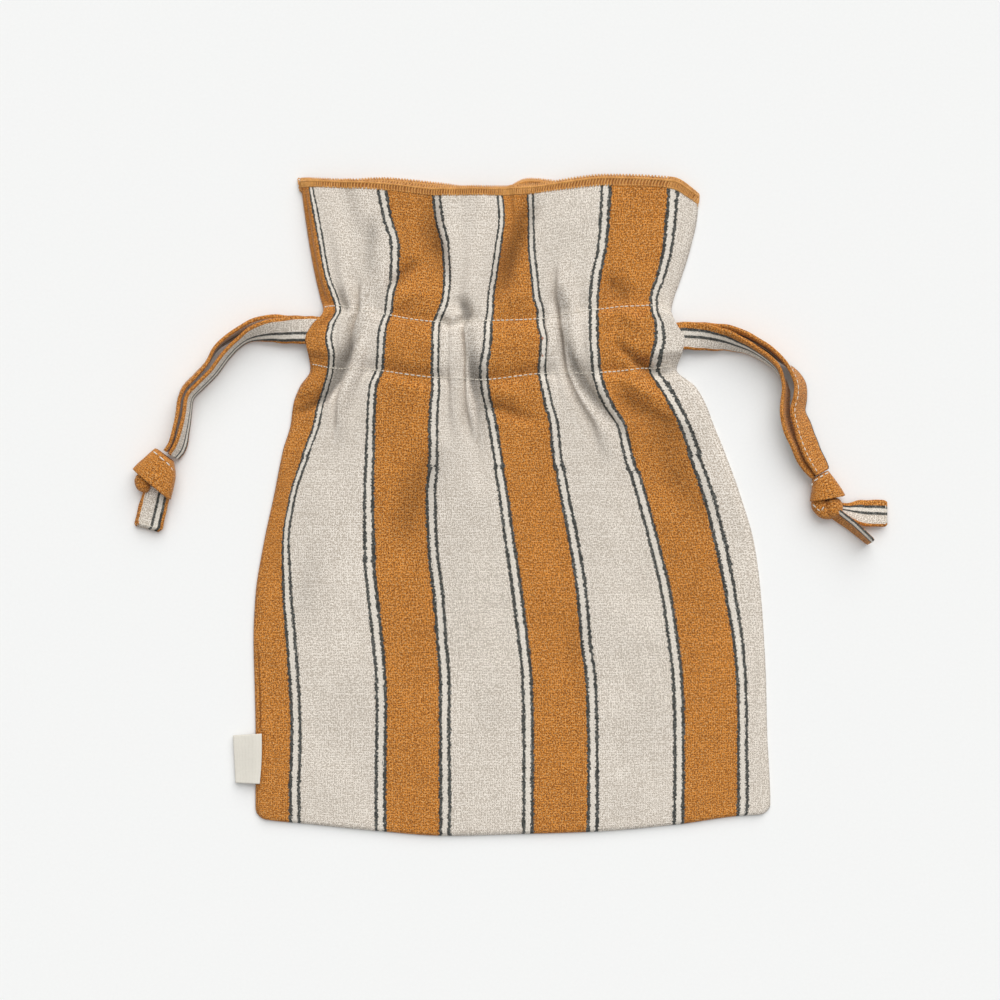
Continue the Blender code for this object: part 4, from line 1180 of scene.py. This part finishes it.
@dataclass
class Bag:
    """The two linen panels, their channel stitches and the overlocked mouth.

    Args:
        finishes: The pouch's materials.
        front_spacing: Distance between the front panel's grid lines.
        back_spacing: Distance between the back panel's grid lines.
        thread_pitch: Distance between the overlock's wrapped threads.
    """

    finishes: Finishes
    front_spacing: float = 0.95
    back_spacing: float = 1.6
    thread_pitch: float = 1.25
    front: Panel = field(default_factory=lambda: Panel(Side.FRONT))
    back: Panel = field(default_factory=lambda: Panel(Side.BACK, seed=11))

    def build(self) -> None:
        """Build the panels, stitches and overlock."""
        linen = self.finishes.printed_linen()
        golden = self.finishes.thread("overlock_thread", GOLDEN)
        # Painted shade: the rolled edge under the overlock gets a dark brown thread finish so the
        # gaps between the threads look dark
        rolled = self.finishes.thread("rolled_edge", ROLL_PAINTED_SHADE)
        cream = self.finishes.thread("cream_thread", CREAM)
        for panel, spacing in ((self.front, self.front_spacing), (self.back, self.back_spacing)):
            side = panel.side.value
            cloth = self.panel_cloth(panel, spacing, linen)
            roll = self.mouth_roll(panel, rolled)
            edge = self.overlock(panel, golden)
            stitches = self.channel_stitches(panel, cream)
            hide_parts(f"{side}_panel")
            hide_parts(f"overlock_{side}")
            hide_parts(f"overlock_{side}")
            LOG.info("%s panel with its overlock and stitches", side)

    def panel_cloth(self, panel: Panel, spacing: float, material: Material) -> Piece:
        """One panel's thin sheet of printed linen."""
        columns = np.linspace(0.0, PANEL_WIDTH, round(PANEL_WIDTH / spacing) + 1)
        top = MOUTH_Y - 0.6 * OVERLOCK_WIDTH
        gathered, loose = LOWER_ROW_Y - 26.0, UPPER_ROW_Y + 12.0
        below = round((gathered - BOTTOM_Y) / spacing / 1.9)
        between = round((loose - gathered) / spacing / 0.85)
        rows = np.concatenate((
            BOTTOM_Y + np.array([0.0, 0.3, 0.7]),
            np.linspace(BOTTOM_Y + 1.3, gathered, below, endpoint=False),
            np.linspace(gathered, loose, between, endpoint=False),
            np.linspace(loose, top, round((top - loose) / spacing / 1.3)),
        ))
        shape = mapped_grid(columns, rows, panel.place)
        piece = finish_object(f"{panel.side.value}_linen", shape, material)
        spots = np.array([vertex.co for vertex in piece.data.vertices])
        # Painted shade: the front's colour darkens with crease depth, carried to its material as a
        # point attribute
        hollow = panel.hollow(spots) if panel.side is Side.FRONT else np.zeros(len(spots))
        piece.data.attributes.new("hollow", "FLOAT", "POINT").data.foreach_set("value", hollow)
        add_thickness(piece, LINEN)
        return piece

    def mouth_roll(self, panel: Panel, material: Material) -> Piece:
        """The panel's raw mouth edge, rolled inside the overlock threads and coloured dark as
        painted shade between them.
        """
        columns = np.linspace(0.0, PANEL_WIDTH, 172)
        angles = np.linspace(0.0, 2.0 * np.pi, 17)

        def place(u: Array, angle: Array) -> Array:
            return self.mouth_place(panel, u, 0.88 * np.cos(angle), np.sin(angle) * 0.4)

        shape = mapped_grid(columns, angles, place)
        bmesh.ops.remove_doubles(shape, verts=shape.verts, dist=1e-7)
        bmesh.ops.holes_fill(shape, edges=[edge for edge in shape.edges if edge.is_boundary])
        bmesh.ops.recalc_face_normals(shape, faces=shape.faces)
        return finish_object(f"{panel.side.value}_mouth_roll", shape, material)

    @staticmethod
    def mouth_place(panel: Panel, u: Array, share: Array, lift: Array) -> Array:
        """Positions beside the mouth edge.

        Args:
            panel: The panel whose edge it is.
            u: Flat distances across the cloth.
            share: From -1 at the overlock's inner edge to 1 at its outer edge.
            lift: Heights above the middle of the cloth, in millimetres.

        Returns:
            Positions in metres.
        """
        middle_row = MOUTH_Y - 0.5 * OVERLOCK_WIDTH
        level = np.full_like(u, middle_row)
        inward = (0.5 * share - 0.5) * soft_curve(BAND_PLACES, BAND_WIDENING, u)
        spots = panel.place(u, middle_row + (0.5 * share + inward) * OVERLOCK_WIDTH)
        spots[..., 2] = 0.5 * (spots[..., 2] + panel.place(u, level)[..., 2])
        if panel.side is Side.BACK:
            spots[..., 2] += 0.45 * MM
        return spots + panel.normal(u, level) * lift[..., None] * MM

    def overlock(self, panel: Panel, material: Material) -> Piece:
        """The threads wrapped over one panel's mouth edge, with their beads and chained loops."""
        shape = bmesh.new()
        draws = np.random.default_rng(5 if panel.side is Side.FRONT else 6)
        centres = np.concatenate((
            np.arange(0.6, CLOSE_THREADS, self.thread_pitch),
            np.arange(CLOSE_THREADS, PANEL_WIDTH, CLOSE_SHARE * self.thread_pitch),
        ))
        count = len(centres)
        shares = np.array(WRAP_SHARES)
        slants = np.array(WRAP_SLANTS) * self.thread_pitch
        rounding = np.sqrt(1.0 - shares**2)
        centres = centres + draws.uniform(-0.12, 0.12, count)
        reach = np.ones((count, len(shares)))
        reach[:, 0] = draws.uniform(0.92, 1.08, count)
        thick = draws.uniform(0.9, 1.12, count) * np.where(centres > CLOSE_THREADS, 1.0, 1.22)
        low, high = 0.05, PANEL_WIDTH - 0.05
        for side in (1.0, -1.0):
            u = np.clip(centres[:, None] + side * slants, low, high)
            lift = np.broadcast_to(side * (0.1 + 0.42 * rounding), u.shape)
            for row, size in zip(self.mouth_place(panel, u, shares * reach, lift), thick):
                radii = [size * part for part in WRAP_RADII]
                add_tube(shape, [Vector(spot) for spot in row], radii, 5)
            for share, rise, near, far, size in LOOP_THREADS:
                ends = np.clip(np.stack((centres + near, centres + far), axis=1), low, high)
                tilt = np.broadcast_to(np.array([share - 0.14, share + 0.14]), ends.shape)
                lift = np.full_like(ends, side * rise)
                for row, part in zip(self.mouth_place(panel, ends, tilt, lift), thick):
                    add_stitch(shape, *row, size * part)
        beads = np.clip(np.stack((centres - 0.36, centres + 0.36), axis=1), low, high)
        outer, level = np.ones_like(beads), np.zeros_like(beads)
        for row, part in zip(self.mouth_place(panel, beads, outer, level), thick):
            add_stitch(shape, *row, BEAD_RADIUS * part)
        self.loose_loops(shape, panel, draws)
        return finish_object(f"{panel.side.value}_overlock", shape, material)

    def loose_loops(self, shape: Shape, panel: Panel, draws: np.random.Generator) -> None:
        """Add the few thread loops that stand out from the mouth's left corner."""
        for k in range(5):
            start = np.array([0.4 + 0.35 * k, 0.2, 0.15 * k, 0.5 + 0.3 * k])
            share = np.array([0.2, 0.9, 1.15 + draws.uniform(-0.1, 0.15), 1.0]) - 0.45 * k
            spots = self.mouth_place(panel, start, share, np.array([0.4, 0.5, 0.3, 0.1]))
            spots[1:3, 0] -= (0.5 + draws.uniform(0.0, 0.6)) * MM
            spots[:, 2] = np.maximum(spots[:, 2], 0.4 * MM)
            add_tube(shape, [Vector(spot) for spot in spots], (0.22, 0.25, 0.25, 0.2), 6)

    def channel_stitches(self, panel: Panel, material: Material) -> Piece:
        """The thread that shows along both stitch rows of one panel."""
        shape = bmesh.new()
        draws = random.Random(3)
        count = int((PANEL_WIDTH - 4.0) / STITCH_PITCH)
        up = 1.0 if panel.side is Side.FRONT else -1.0
        for stitch_row in (LOWER_ROW_Y, UPPER_ROW_Y):
            starts = 2.0 + np.arange(count) * STITCH_PITCH
            rows = np.full(count, stitch_row)
            ahead = panel.place(starts + 0.75 * STITCH_PITCH, rows)
            behind = panel.place(starts, rows)
            outward = panel.normal(starts + 0.37 * STITCH_PITCH, rows) * up
            for start, end, out in zip(behind, ahead, outward):
                lift = out * (0.5 * LINEN + 0.14) * MM
                add_stitch(shape, start + lift, end + lift, 0.25 * draws.uniform(0.9, 1.15))
        name = f"{panel.side.value}_channel_stitches"
        return finish_object(name, shape, material)


def add_tube(shape: Shape, points: Sequence[Vector], radii: Sequence[float], sides: int) -> None:
    """Add one closed tube of thread that follows points.

    Args:
        shape: The mesh that the tube joins.
        points: Its centreline, in metres.
        radii: Its radius at each point, in millimetres.
        sides: How many faces go round it.
    """
    rings = []
    angles = [2.0 * math.pi * i / sides for i in range(sides)]
    for k, (point, radius) in enumerate(zip(points, radii)):
        run = (points[min(k + 1, len(points) - 1)] - points[max(k - 1, 0)]).normalized()
        side = (run.orthogonal() if abs(run.z) > 0.9 else run.cross(UP)).normalized()
        other = run.cross(side)
        spokes = [side * math.cos(angle) + other * math.sin(angle) for angle in angles]
        rings.append([shape.verts.new(point + spoke * radius * MM) for spoke in spokes])
    for before, after in zip(rings, rings[1:]):
        for i in range(sides):
            j = (i + 1) % sides
            shape.faces.new((before[i], before[j], after[j], after[i]))
    shape.faces.new(rings[0][::-1])
    shape.faces.new(rings[-1])


def add_stitch(shape: Shape, start: Sequence[float], end: Sequence[float], radius: float) -> None:
    """Add one short length of thread lying on the cloth.

    Args:
        shape: The mesh that the stitch joins.
        start: Where it comes up, in metres.
        end: Where it goes down, in metres.
        radius: Its radius, in millimetres.
    """
    points = [Vector(start).lerp(Vector(end), share) for share in (0.0, 0.12, 0.5, 0.88, 1.0)]
    add_tube(shape, points, [radius * part for part in (0.25, 0.8, 1.0, 0.8, 0.25)], 6)


def route_points(stops: Sequence[Stop], steps: int) -> list[Stop]:
    """Points along a smooth curve through a route's stops, with roll and width carried along."""
    spans = [0.0]
    for before, after in zip(stops, stops[1:]):
        spans.append(spans[-1] + math.dist(before[:3], after[:3]))
    last = len(stops) - 1

    def slope(k: int, column: int) -> float:
        low, high = max(k - 1, 0), min(k + 1, last)
        return (stops[high][column] - stops[low][column]) / (spans[high] - spans[low])

    points = []
    for k in range(last * steps + 1):
        i = min(k // steps, last - 1)
        t = k / steps - i
        span = spans[i + 1] - spans[i]
        values = []
        for column in range(5):
            start, end = stops[i][column], stops[i + 1][column]
            rise = slope(i, column) * span * t * (1.0 - t) ** 2
            fall = slope(i + 1, column) * span * t * t * (1.0 - t)
            values.append(start + (end - start) * t * t * (3.0 - 2.0 * t) + rise - fall)
        points.append(Stop(*values))
    return points


# The tape's cross section as shares of half its width and half its thickness
TAPE_OUTLINE = (
    (-0.86, 1.0), (-0.5, 1.05), (0.0, 0.92), (0.5, 1.0), (0.8, 1.05), (0.95, 0.85), (1.0, 0.35),
    (0.965, 0.0), (1.0, -0.35), (0.95, -0.85), (0.8, -1.05), (0.5, -1.0), (0.0, -0.92),
    (-0.5, -1.05), (-0.86, -1.0), (-0.97, -0.7), (-1.0, 0.0), (-0.97, 0.7),
)


@dataclass
class Tape:
    """A folded tape swept along a route.

    Args:
        name: The piece's name.
        stops: Its route.
        steps: Cuts between two stops.
        thickness: Its thickness in millimetres.
        seed: Start of the random draws for its uneven edges.
    """

    name: str
    stops: Sequence[Stop]
    steps: int = 9
    thickness: float = TIE_THICKNESS
    seed: int = 1

    def frames(self) -> list[tuple[Vector, Vector, Vector, Vector, float]]:
        """Middle, run, width direction, face direction and width at each point, in metres."""
        points = route_points(self.stops, self.steps)
        shift = Vector((*CENTRE_SHIFT, 0.0))
        made = []
        for k, point in enumerate(points):
            ahead = Vector(points[min(k + 1, len(points) - 1)][:3])
            behind = Vector(points[max(k - 1, 0)][:3])
            run = (ahead - behind).normalized()
            level = UP.cross(run).normalized()
            upright = run.cross(level)
            roll = math.radians(point.roll)
            wide = level * math.cos(roll) + upright * math.sin(roll)
            middle = (Vector(point[:3]) + shift) * MM
            made.append((middle, run, wide, run.cross(wide), point.width * MM))
        return made

    def build(self, material: Material, slot: str) -> Piece:
        """Sweep the tape as one closed body with its flat position as the cloth UV map."""
        draws = random.Random(self.seed)
        phases = [draws.uniform(0.0, 6.28) for _ in range(4)]
        frames = self.frames()
        shape = bmesh.new()
        layer = shape.loops.layers.uv.new("cloth")
        around = [0.0]
        for (a, b), (c, d) in zip(TAPE_OUTLINE, TAPE_OUTLINE[1:] + TAPE_OUTLINE[:1]):
            step = math.hypot((c - a) * 0.5 * TAPE_WIDTH, (d - b) * 0.5 * self.thickness)
            around.append(around[-1] + step)
        rings = []
        along = 0.0
        distances = []
        for k, (middle, _, wide, face, width) in enumerate(frames):
            if k:
                along += (middle - frames[k - 1][0]).length
            distances.append(along)
            to_end = min((middle - frames[-1][0]).length / MM / 1.4, 1.0)
            width *= 1.0 - 0.13 * (1.0 - to_end) ** 2
            wave = 0.03 * math.sin(along / MM / 3.1 + phases[0])
            wave += 0.02 * math.sin(along / MM / 1.3 + phases[1])
            cupping = math.sin(along / MM / 9.0 + phases[2])
            ring = []
            for a, b in TAPE_OUTLINE:
                edge = a * (1.0 + wave * (1.0 if a > 0 else -1.0))
                out = (b + 0.18 * (a * a - 0.4) * cupping) * 0.5 * self.thickness * MM
                ring.append(shape.verts.new(middle + wide * (edge * 0.5 * width) + face * out))
            rings.append(ring)
        count = len(TAPE_OUTLINE)
        for k in range(len(rings) - 1):
            for i in range(count):
                j = (i + 1) % count
                made = shape.faces.new((rings[k][i], rings[k][j], rings[k + 1][j], rings[k + 1][i]))
                flats = (
                    (around[i], distances[k]), (around[i + 1], distances[k]),
                    (around[i + 1], distances[k + 1]), (around[i], distances[k + 1]),
                )
                for loop, (x, y) in zip(made.loops, flats):
                    loop[layer].uv = (x * MM, y)
        for ring in (rings[0][::-1], rings[-1]):
            cap = shape.faces.new(ring)
            for loop in cap.loops:
                loop[layer].uv = (12.0 * MM, 0.0)
        bmesh.ops.recalc_face_normals(shape, faces=shape.faces)
        return finish_object(self.name, shape, material)

    def end_stitches(self, name: str, material: Material) -> Piece:
        """The stitches across the free end and along one edge beside it."""
        shape = bmesh.new()
        frames = self.frames()
        lift = (0.5 * self.thickness + 0.1) * MM

        def on_face(k: int, share: float) -> Vector:
            """A place on the face, at a share of half the width from the middle."""
            middle, _, wide, face, width = frames[k]
            return middle + wide * (share * 0.5 * width) + face * lift

        for share in (-0.72, -0.36, 0.0, 0.36):
            add_stitch(shape, on_face(-2, share), on_face(-2, share + 0.24), 0.2)
        for k in range(len(frames) // 2, len(frames) - 3, 3):
            add_stitch(shape, on_face(k, -0.78), on_face(k + 2, -0.78), 0.2)
        return finish_object(name, shape, material)

    def stitches(self, name: str, across_share: float, material: Material) -> Piece:
        """The row of topstitches along one edge of the tape's plain face.

        Args:
            name: The piece's name.
            across_share: Where the row lies, as a share of half the width.
            material: The thread's finish.

        Returns:
            The joined stitches.
        """
        shape = bmesh.new()
        lift = (0.5 * self.thickness + 0.12) * MM
        pitch, stitch = 2.3, 1.6
        row = [
            middle + wide * (across_share * 0.5 * width) - face * lift
            for middle, _, wide, face, width in self.frames()
        ]
        distance, start = 0.0, None
        for before, after in zip(row, row[1:]):
            phase = (distance / MM) % pitch
            if phase < stitch and start is None:
                start = before
            if phase >= stitch and start is not None:
                add_stitch(shape, start, before, 0.2)
                start = None
            distance += (after - before).length
        return finish_object(name, shape, material)


@dataclass
class Wrap:
    """A turn of tape in a knot, as a sleeve through oval cross sections.

    Args:
        name: The piece's name.
        rings: Its cross sections.
        centre_z: Height of its middle.
        square: How square the cross sections are, from 1 for round down to 0 for square.
        thickness: The tape's thickness in millimetres.
    """

    name: str
    rings: Sequence[Ring]
    centre_z: float = CLEARANCE + 5.2
    square: float = 0.62
    thickness: float = 1.2

    def place(self, angle: Array, at: Array) -> Array:
        """Positions in metres at angles round the sleeve and places along it."""
        places = np.arange(len(self.rings), dtype=float)
        table = np.array(list(self.rings), float)
        x, y, wide, high, turn = (soft_curve(places, table[:, k], at) for k in range(5))
        side, rise = (
            np.sign(part) * np.abs(part) ** self.square for part in (np.cos(angle), np.sin(angle))
        )
        half_wide = np.maximum(0.5 * (wide - self.thickness), 0.1)
        half_high = np.maximum(0.5 * (high - self.thickness), 0.1)
        turn = np.radians(turn)
        return np.stack((
            x + CENTRE_SHIFT[0] + np.cos(turn) * half_wide * side,
            y + CENTRE_SHIFT[1] + np.sin(turn) * half_wide * side,
            self.centre_z + half_high * rise,
        ), axis=-1) * MM

    def build(self, material: Material) -> Piece:
        """Loft the sleeve through its cross sections."""
        angles = np.linspace(0.0, 2.0 * np.pi, 65)
        shape = mapped_grid(angles, np.linspace(0.0, len(self.rings) - 1.0, 33), self.place)
        layer = shape.loops.layers.uv["cloth"]
        widest, highest = (max(ring[column] for ring in self.rings) for column in (2, 3))
        round_scale = 0.34 * (widest + highest)
        long_scale = 1.3 * math.dist(self.rings[0][:2], self.rings[-1][:2]) / (len(self.rings) - 1)
        for face in shape.faces:
            for loop in face.loops:
                flat = loop[layer].uv
                loop[layer].uv = (flat.x * round_scale, flat.y * long_scale)
        bmesh.ops.remove_doubles(shape, verts=shape.verts, dist=1e-7)
        bmesh.ops.recalc_face_normals(shape, faces=shape.faces)
        piece = finish_object(self.name, shape, material)
        add_thickness(piece, self.thickness)
        return piece


def single_stitches(
    name: str, ends: Sequence[tuple[Sequence[float], Sequence[float]]], material: Material
) -> Piece:
    """Stitches between given pairs of points.

    Args:
        name: The piece's name.
        ends: The two ends of each stitch, in millimetres.
        material: The thread's finish.

    Returns:
        The joined stitches.
    """
    shape = bmesh.new()
    shift = Vector((*CENTRE_SHIFT, 0.0))
    for start, end in ends:
        add_stitch(shape, (Vector(start) + shift) * MM, (Vector(end) + shift) * MM, 0.28)
    return finish_object(name, shape, material)


@dataclass
class Ties:
    """The two knotted ties."""

    finishes: Finishes

    def build(self) -> None:
        """Build each tie's strands, knot, tails and stitches."""
        left_tape = self.finishes.tape_linen("left_tape", 7.3, False)
        right_tape = self.finishes.tape_linen("right_tape", 5.9, False, rim_line=True)
        edge_tape = self.finishes.tape_linen("edge_tape", 9.4, True)
        knot_cloth = self.finishes.plain_ochre()
        cream = self.finishes.thread("tie_thread", CREAM)
        left_knot = [
            Wrap("left_knot_wrap", LEFT_WRAP).build(knot_cloth),
            Wrap("left_knot_loop", LEFT_LOOP, 4.6, 0.9, 0.6).build(knot_cloth),
            single_stitches("left_knot_stitches", LEFT_KNOT_STITCHES, cream),
        ]
        right_knot = [
            Wrap("right_knot_wrap", RIGHT_WRAP).build(knot_cloth),
            Wrap("right_knot_disc", RIGHT_DISC, 5.0, 0.95, 0.6).build(knot_cloth),
            Wrap("right_knot_loop", RIGHT_LOOP, 4.4, 0.8, 0.6).build(knot_cloth),
            single_stitches("right_knot_stitches", RIGHT_KNOT_STITCHES, cream),
        ]
        for name, stops, seed, tape, knot in (
            ("left_tail_top", LEFT_TOP_TAIL, 21, left_tape, left_knot),
            ("left_tail_low", LEFT_LOW_TAIL, 22, left_tape, left_knot),
            ("right_tail_flat", RIGHT_FLAT_TAIL, 23, right_tape, right_knot),
            ("right_tail_edge", RIGHT_EDGE_TAIL, 24, edge_tape, right_knot),
        ):
            tail = Tape(name, stops, seed=seed)
            knot.append(tail.build(tape, "tie_linen"))
            if name in ("left_tail_top", "right_tail_flat"):
                knot.append(tail.end_stitches(f"{name}_stitches", cream))
        for piece in left_knot:
            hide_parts("left_knot")
        for piece in right_knot:
            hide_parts("right_knot")
        strands = (
            ("left_tie_front", LEFT_FRONT_ROUTE, left_tape, left_knot, 31),
            ("left_tie_back", LEFT_BACK_ROUTE, left_tape, [], 32),
            ("right_tie_inner", RIGHT_INNER_ROUTE, right_tape, right_knot, 33),
            ("right_tie_outer", RIGHT_OUTER_ROUTE, right_tape, [], 34),
        )
        for node, route, tape, on_it, seed in strands:
            strand = Tape(f"{node}_tape", route, seed=seed)
            piece = strand.build(tape, "tie_linen")
            side = -0.78 if node == "right_tie_inner" else 0.78
            stitches = strand.stitches(f"{node}_stitches", side, cream)
            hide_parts(node)
            path = [frame[0] for frame in strand.frames()]


@dataclass
class Label:
    """The bare folded label in the left seam.

    Args:
        finishes: The pouch's materials.
        top_y: Height of its upper edge on the table.
        seam_x: Where it comes out of the seam.
        fold_x: Where it is folded.
        height: Length of its fold.
        thickness: Thickness of its tape.
    """

    finishes: Finishes
    top_y: float = -91.6
    seam_x: float = -95.7
    fold_x: float = -107.3
    height: float = 19.4
    thickness: float = 0.32

    def build(self) -> None:
        """Build the folded strip."""
        layers = np.array([
            (0.00, 4.40), (0.20, 4.25), (0.45, 3.60), (0.70, 2.90), (0.90, 2.45), (0.98, 2.2),
            (1.00, 1.75), (0.98, 1.30), (0.90, 1.10), (0.70, 1.50), (0.45, 2.40), (0.20, 3.30),
            (0.02, 3.45),
        ])
        places = np.arange(len(layers), dtype=float)

        def place(along: Array, down: Array) -> Array:
            share = soft_curve(places, layers[:, 0], along)
            z = soft_curve(places, layers[:, 1], along)
            part = down / self.height
            seam = self.seam_x - 0.8 * part + 0.35 * np.sin(np.pi * part)
            fold = self.fold_x + 1.0 * part
            x = seam + (fold - seam) * share + CENTRE_SHIFT[0]
            y = self.top_y + 0.9 - down * 1.03 + CENTRE_SHIFT[1] - 0.9 * share * (1.0 - 1.2 * part)
            return np.stack((x, y, z + 0.12 * np.sin(2.0 * np.pi * part)), axis=-1) * MM

        columns, rows = np.linspace(0.0, len(layers) - 1.0, 97), np.linspace(0.0, self.height, 41)
        shape = mapped_grid(columns, rows, place)
        piece = finish_object("label_strip", shape, self.finishes.label_tape())
        add_thickness(piece, self.thickness)
        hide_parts("label")
        LOG.info("label")


@dataclass
class Studio:
    """The plain floor, soft light and the camera straight above.

    Args:
        camera_height: Height of the camera over the table, in metres.
        lens: Focal length of its lens, in millimetres.
    """

    camera_height: float = 1.0
    lens: float = 90.0

    def build(self) -> None:
        """Build the camera, floor and lights."""
        scene = bpy.context.scene
        scene.view_settings.view_transform = "Standard"
        lens = bpy.data.cameras.new("camera")
        lens.lens = self.lens
        camera = bpy.data.objects.new("camera", lens)
        camera.location = (
            (PHOTO_CENTRE[0] - FRAME_PIXEL[0]) * PIXEL * MM,
            (FRAME_PIXEL[1] - PHOTO_CENTRE[1]) * PIXEL * MM,
            self.camera_height,
        )
        scene.collection.objects.link(camera)
        scene.camera = camera
        floor = bmesh.new()
        bmesh.ops.create_grid(floor, x_segments=2, y_segments=2, size=3.0)
        mesh = bpy.data.meshes.new("floor")
        floor.to_mesh(mesh)
        floor.free()
        paper, graph, shader = Finishes.start("floor_paper", 0.95, 0.0)
        place = graph.node("ShaderNodeTexCoord").outputs["Object"]
        shade = graph.smooth(graph.noise(place, 900.0), 0.2, 0.8, 0.885, 0.9)
        graph.named(shader, Base_Color=graph.join(shade, shade, graph.times(shade, 0.985)))
        mesh.materials.append(paper)
        table = bpy.data.objects.new("floor", mesh)
        table.location = (0.0, 0.0, -0.0002)
        scene.collection.objects.link(table)
        self.light("north_window", (0.2, 0.70, 0.76), 62.0, 2.3)
        self.light("top_fill", (0.0, 0.1, 1.6), 60.0, 0.6)
        world = bpy.data.worlds.new("studio")
        world.use_nodes = True
        sky = world.node_tree.nodes["Background"]
        Graph(world.node_tree).named(sky, Color=(0.96, 0.98, 1.0, 1.0), Strength=0.32)
        scene.world = world

    @staticmethod
    def light(name: str, place: tuple[float, float, float], spread: float, strength: float) -> None:
        """Add one wide distant light that faces the pouch.

        Args:
            name: The light's name.
            place: Where it shines from.
            spread: How many degrees of the sky it fills.
            strength: Its strength in watts per square metre.
        """
        lamp = bpy.data.lights.new(name, "SUN")
        lamp.angle = math.radians(spread)
        lamp.energy = strength
        made = bpy.data.objects.new(name, lamp)
        made.location = place
        made.rotation_mode = "QUATERNION"
        made.rotation_quaternion = (-Vector(place)).to_track_quat("-Z", "Y")
        bpy.context.scene.collection.objects.link(made)


def main() -> None:
    """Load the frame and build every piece."""
    logging.basicConfig(level=logging.INFO)
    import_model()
    Studio().build()
    finishes = Finishes()
    Ties(finishes).build()
    Bag(finishes).build()
    Label(finishes).build()


if __name__ == "__main__":
    main()
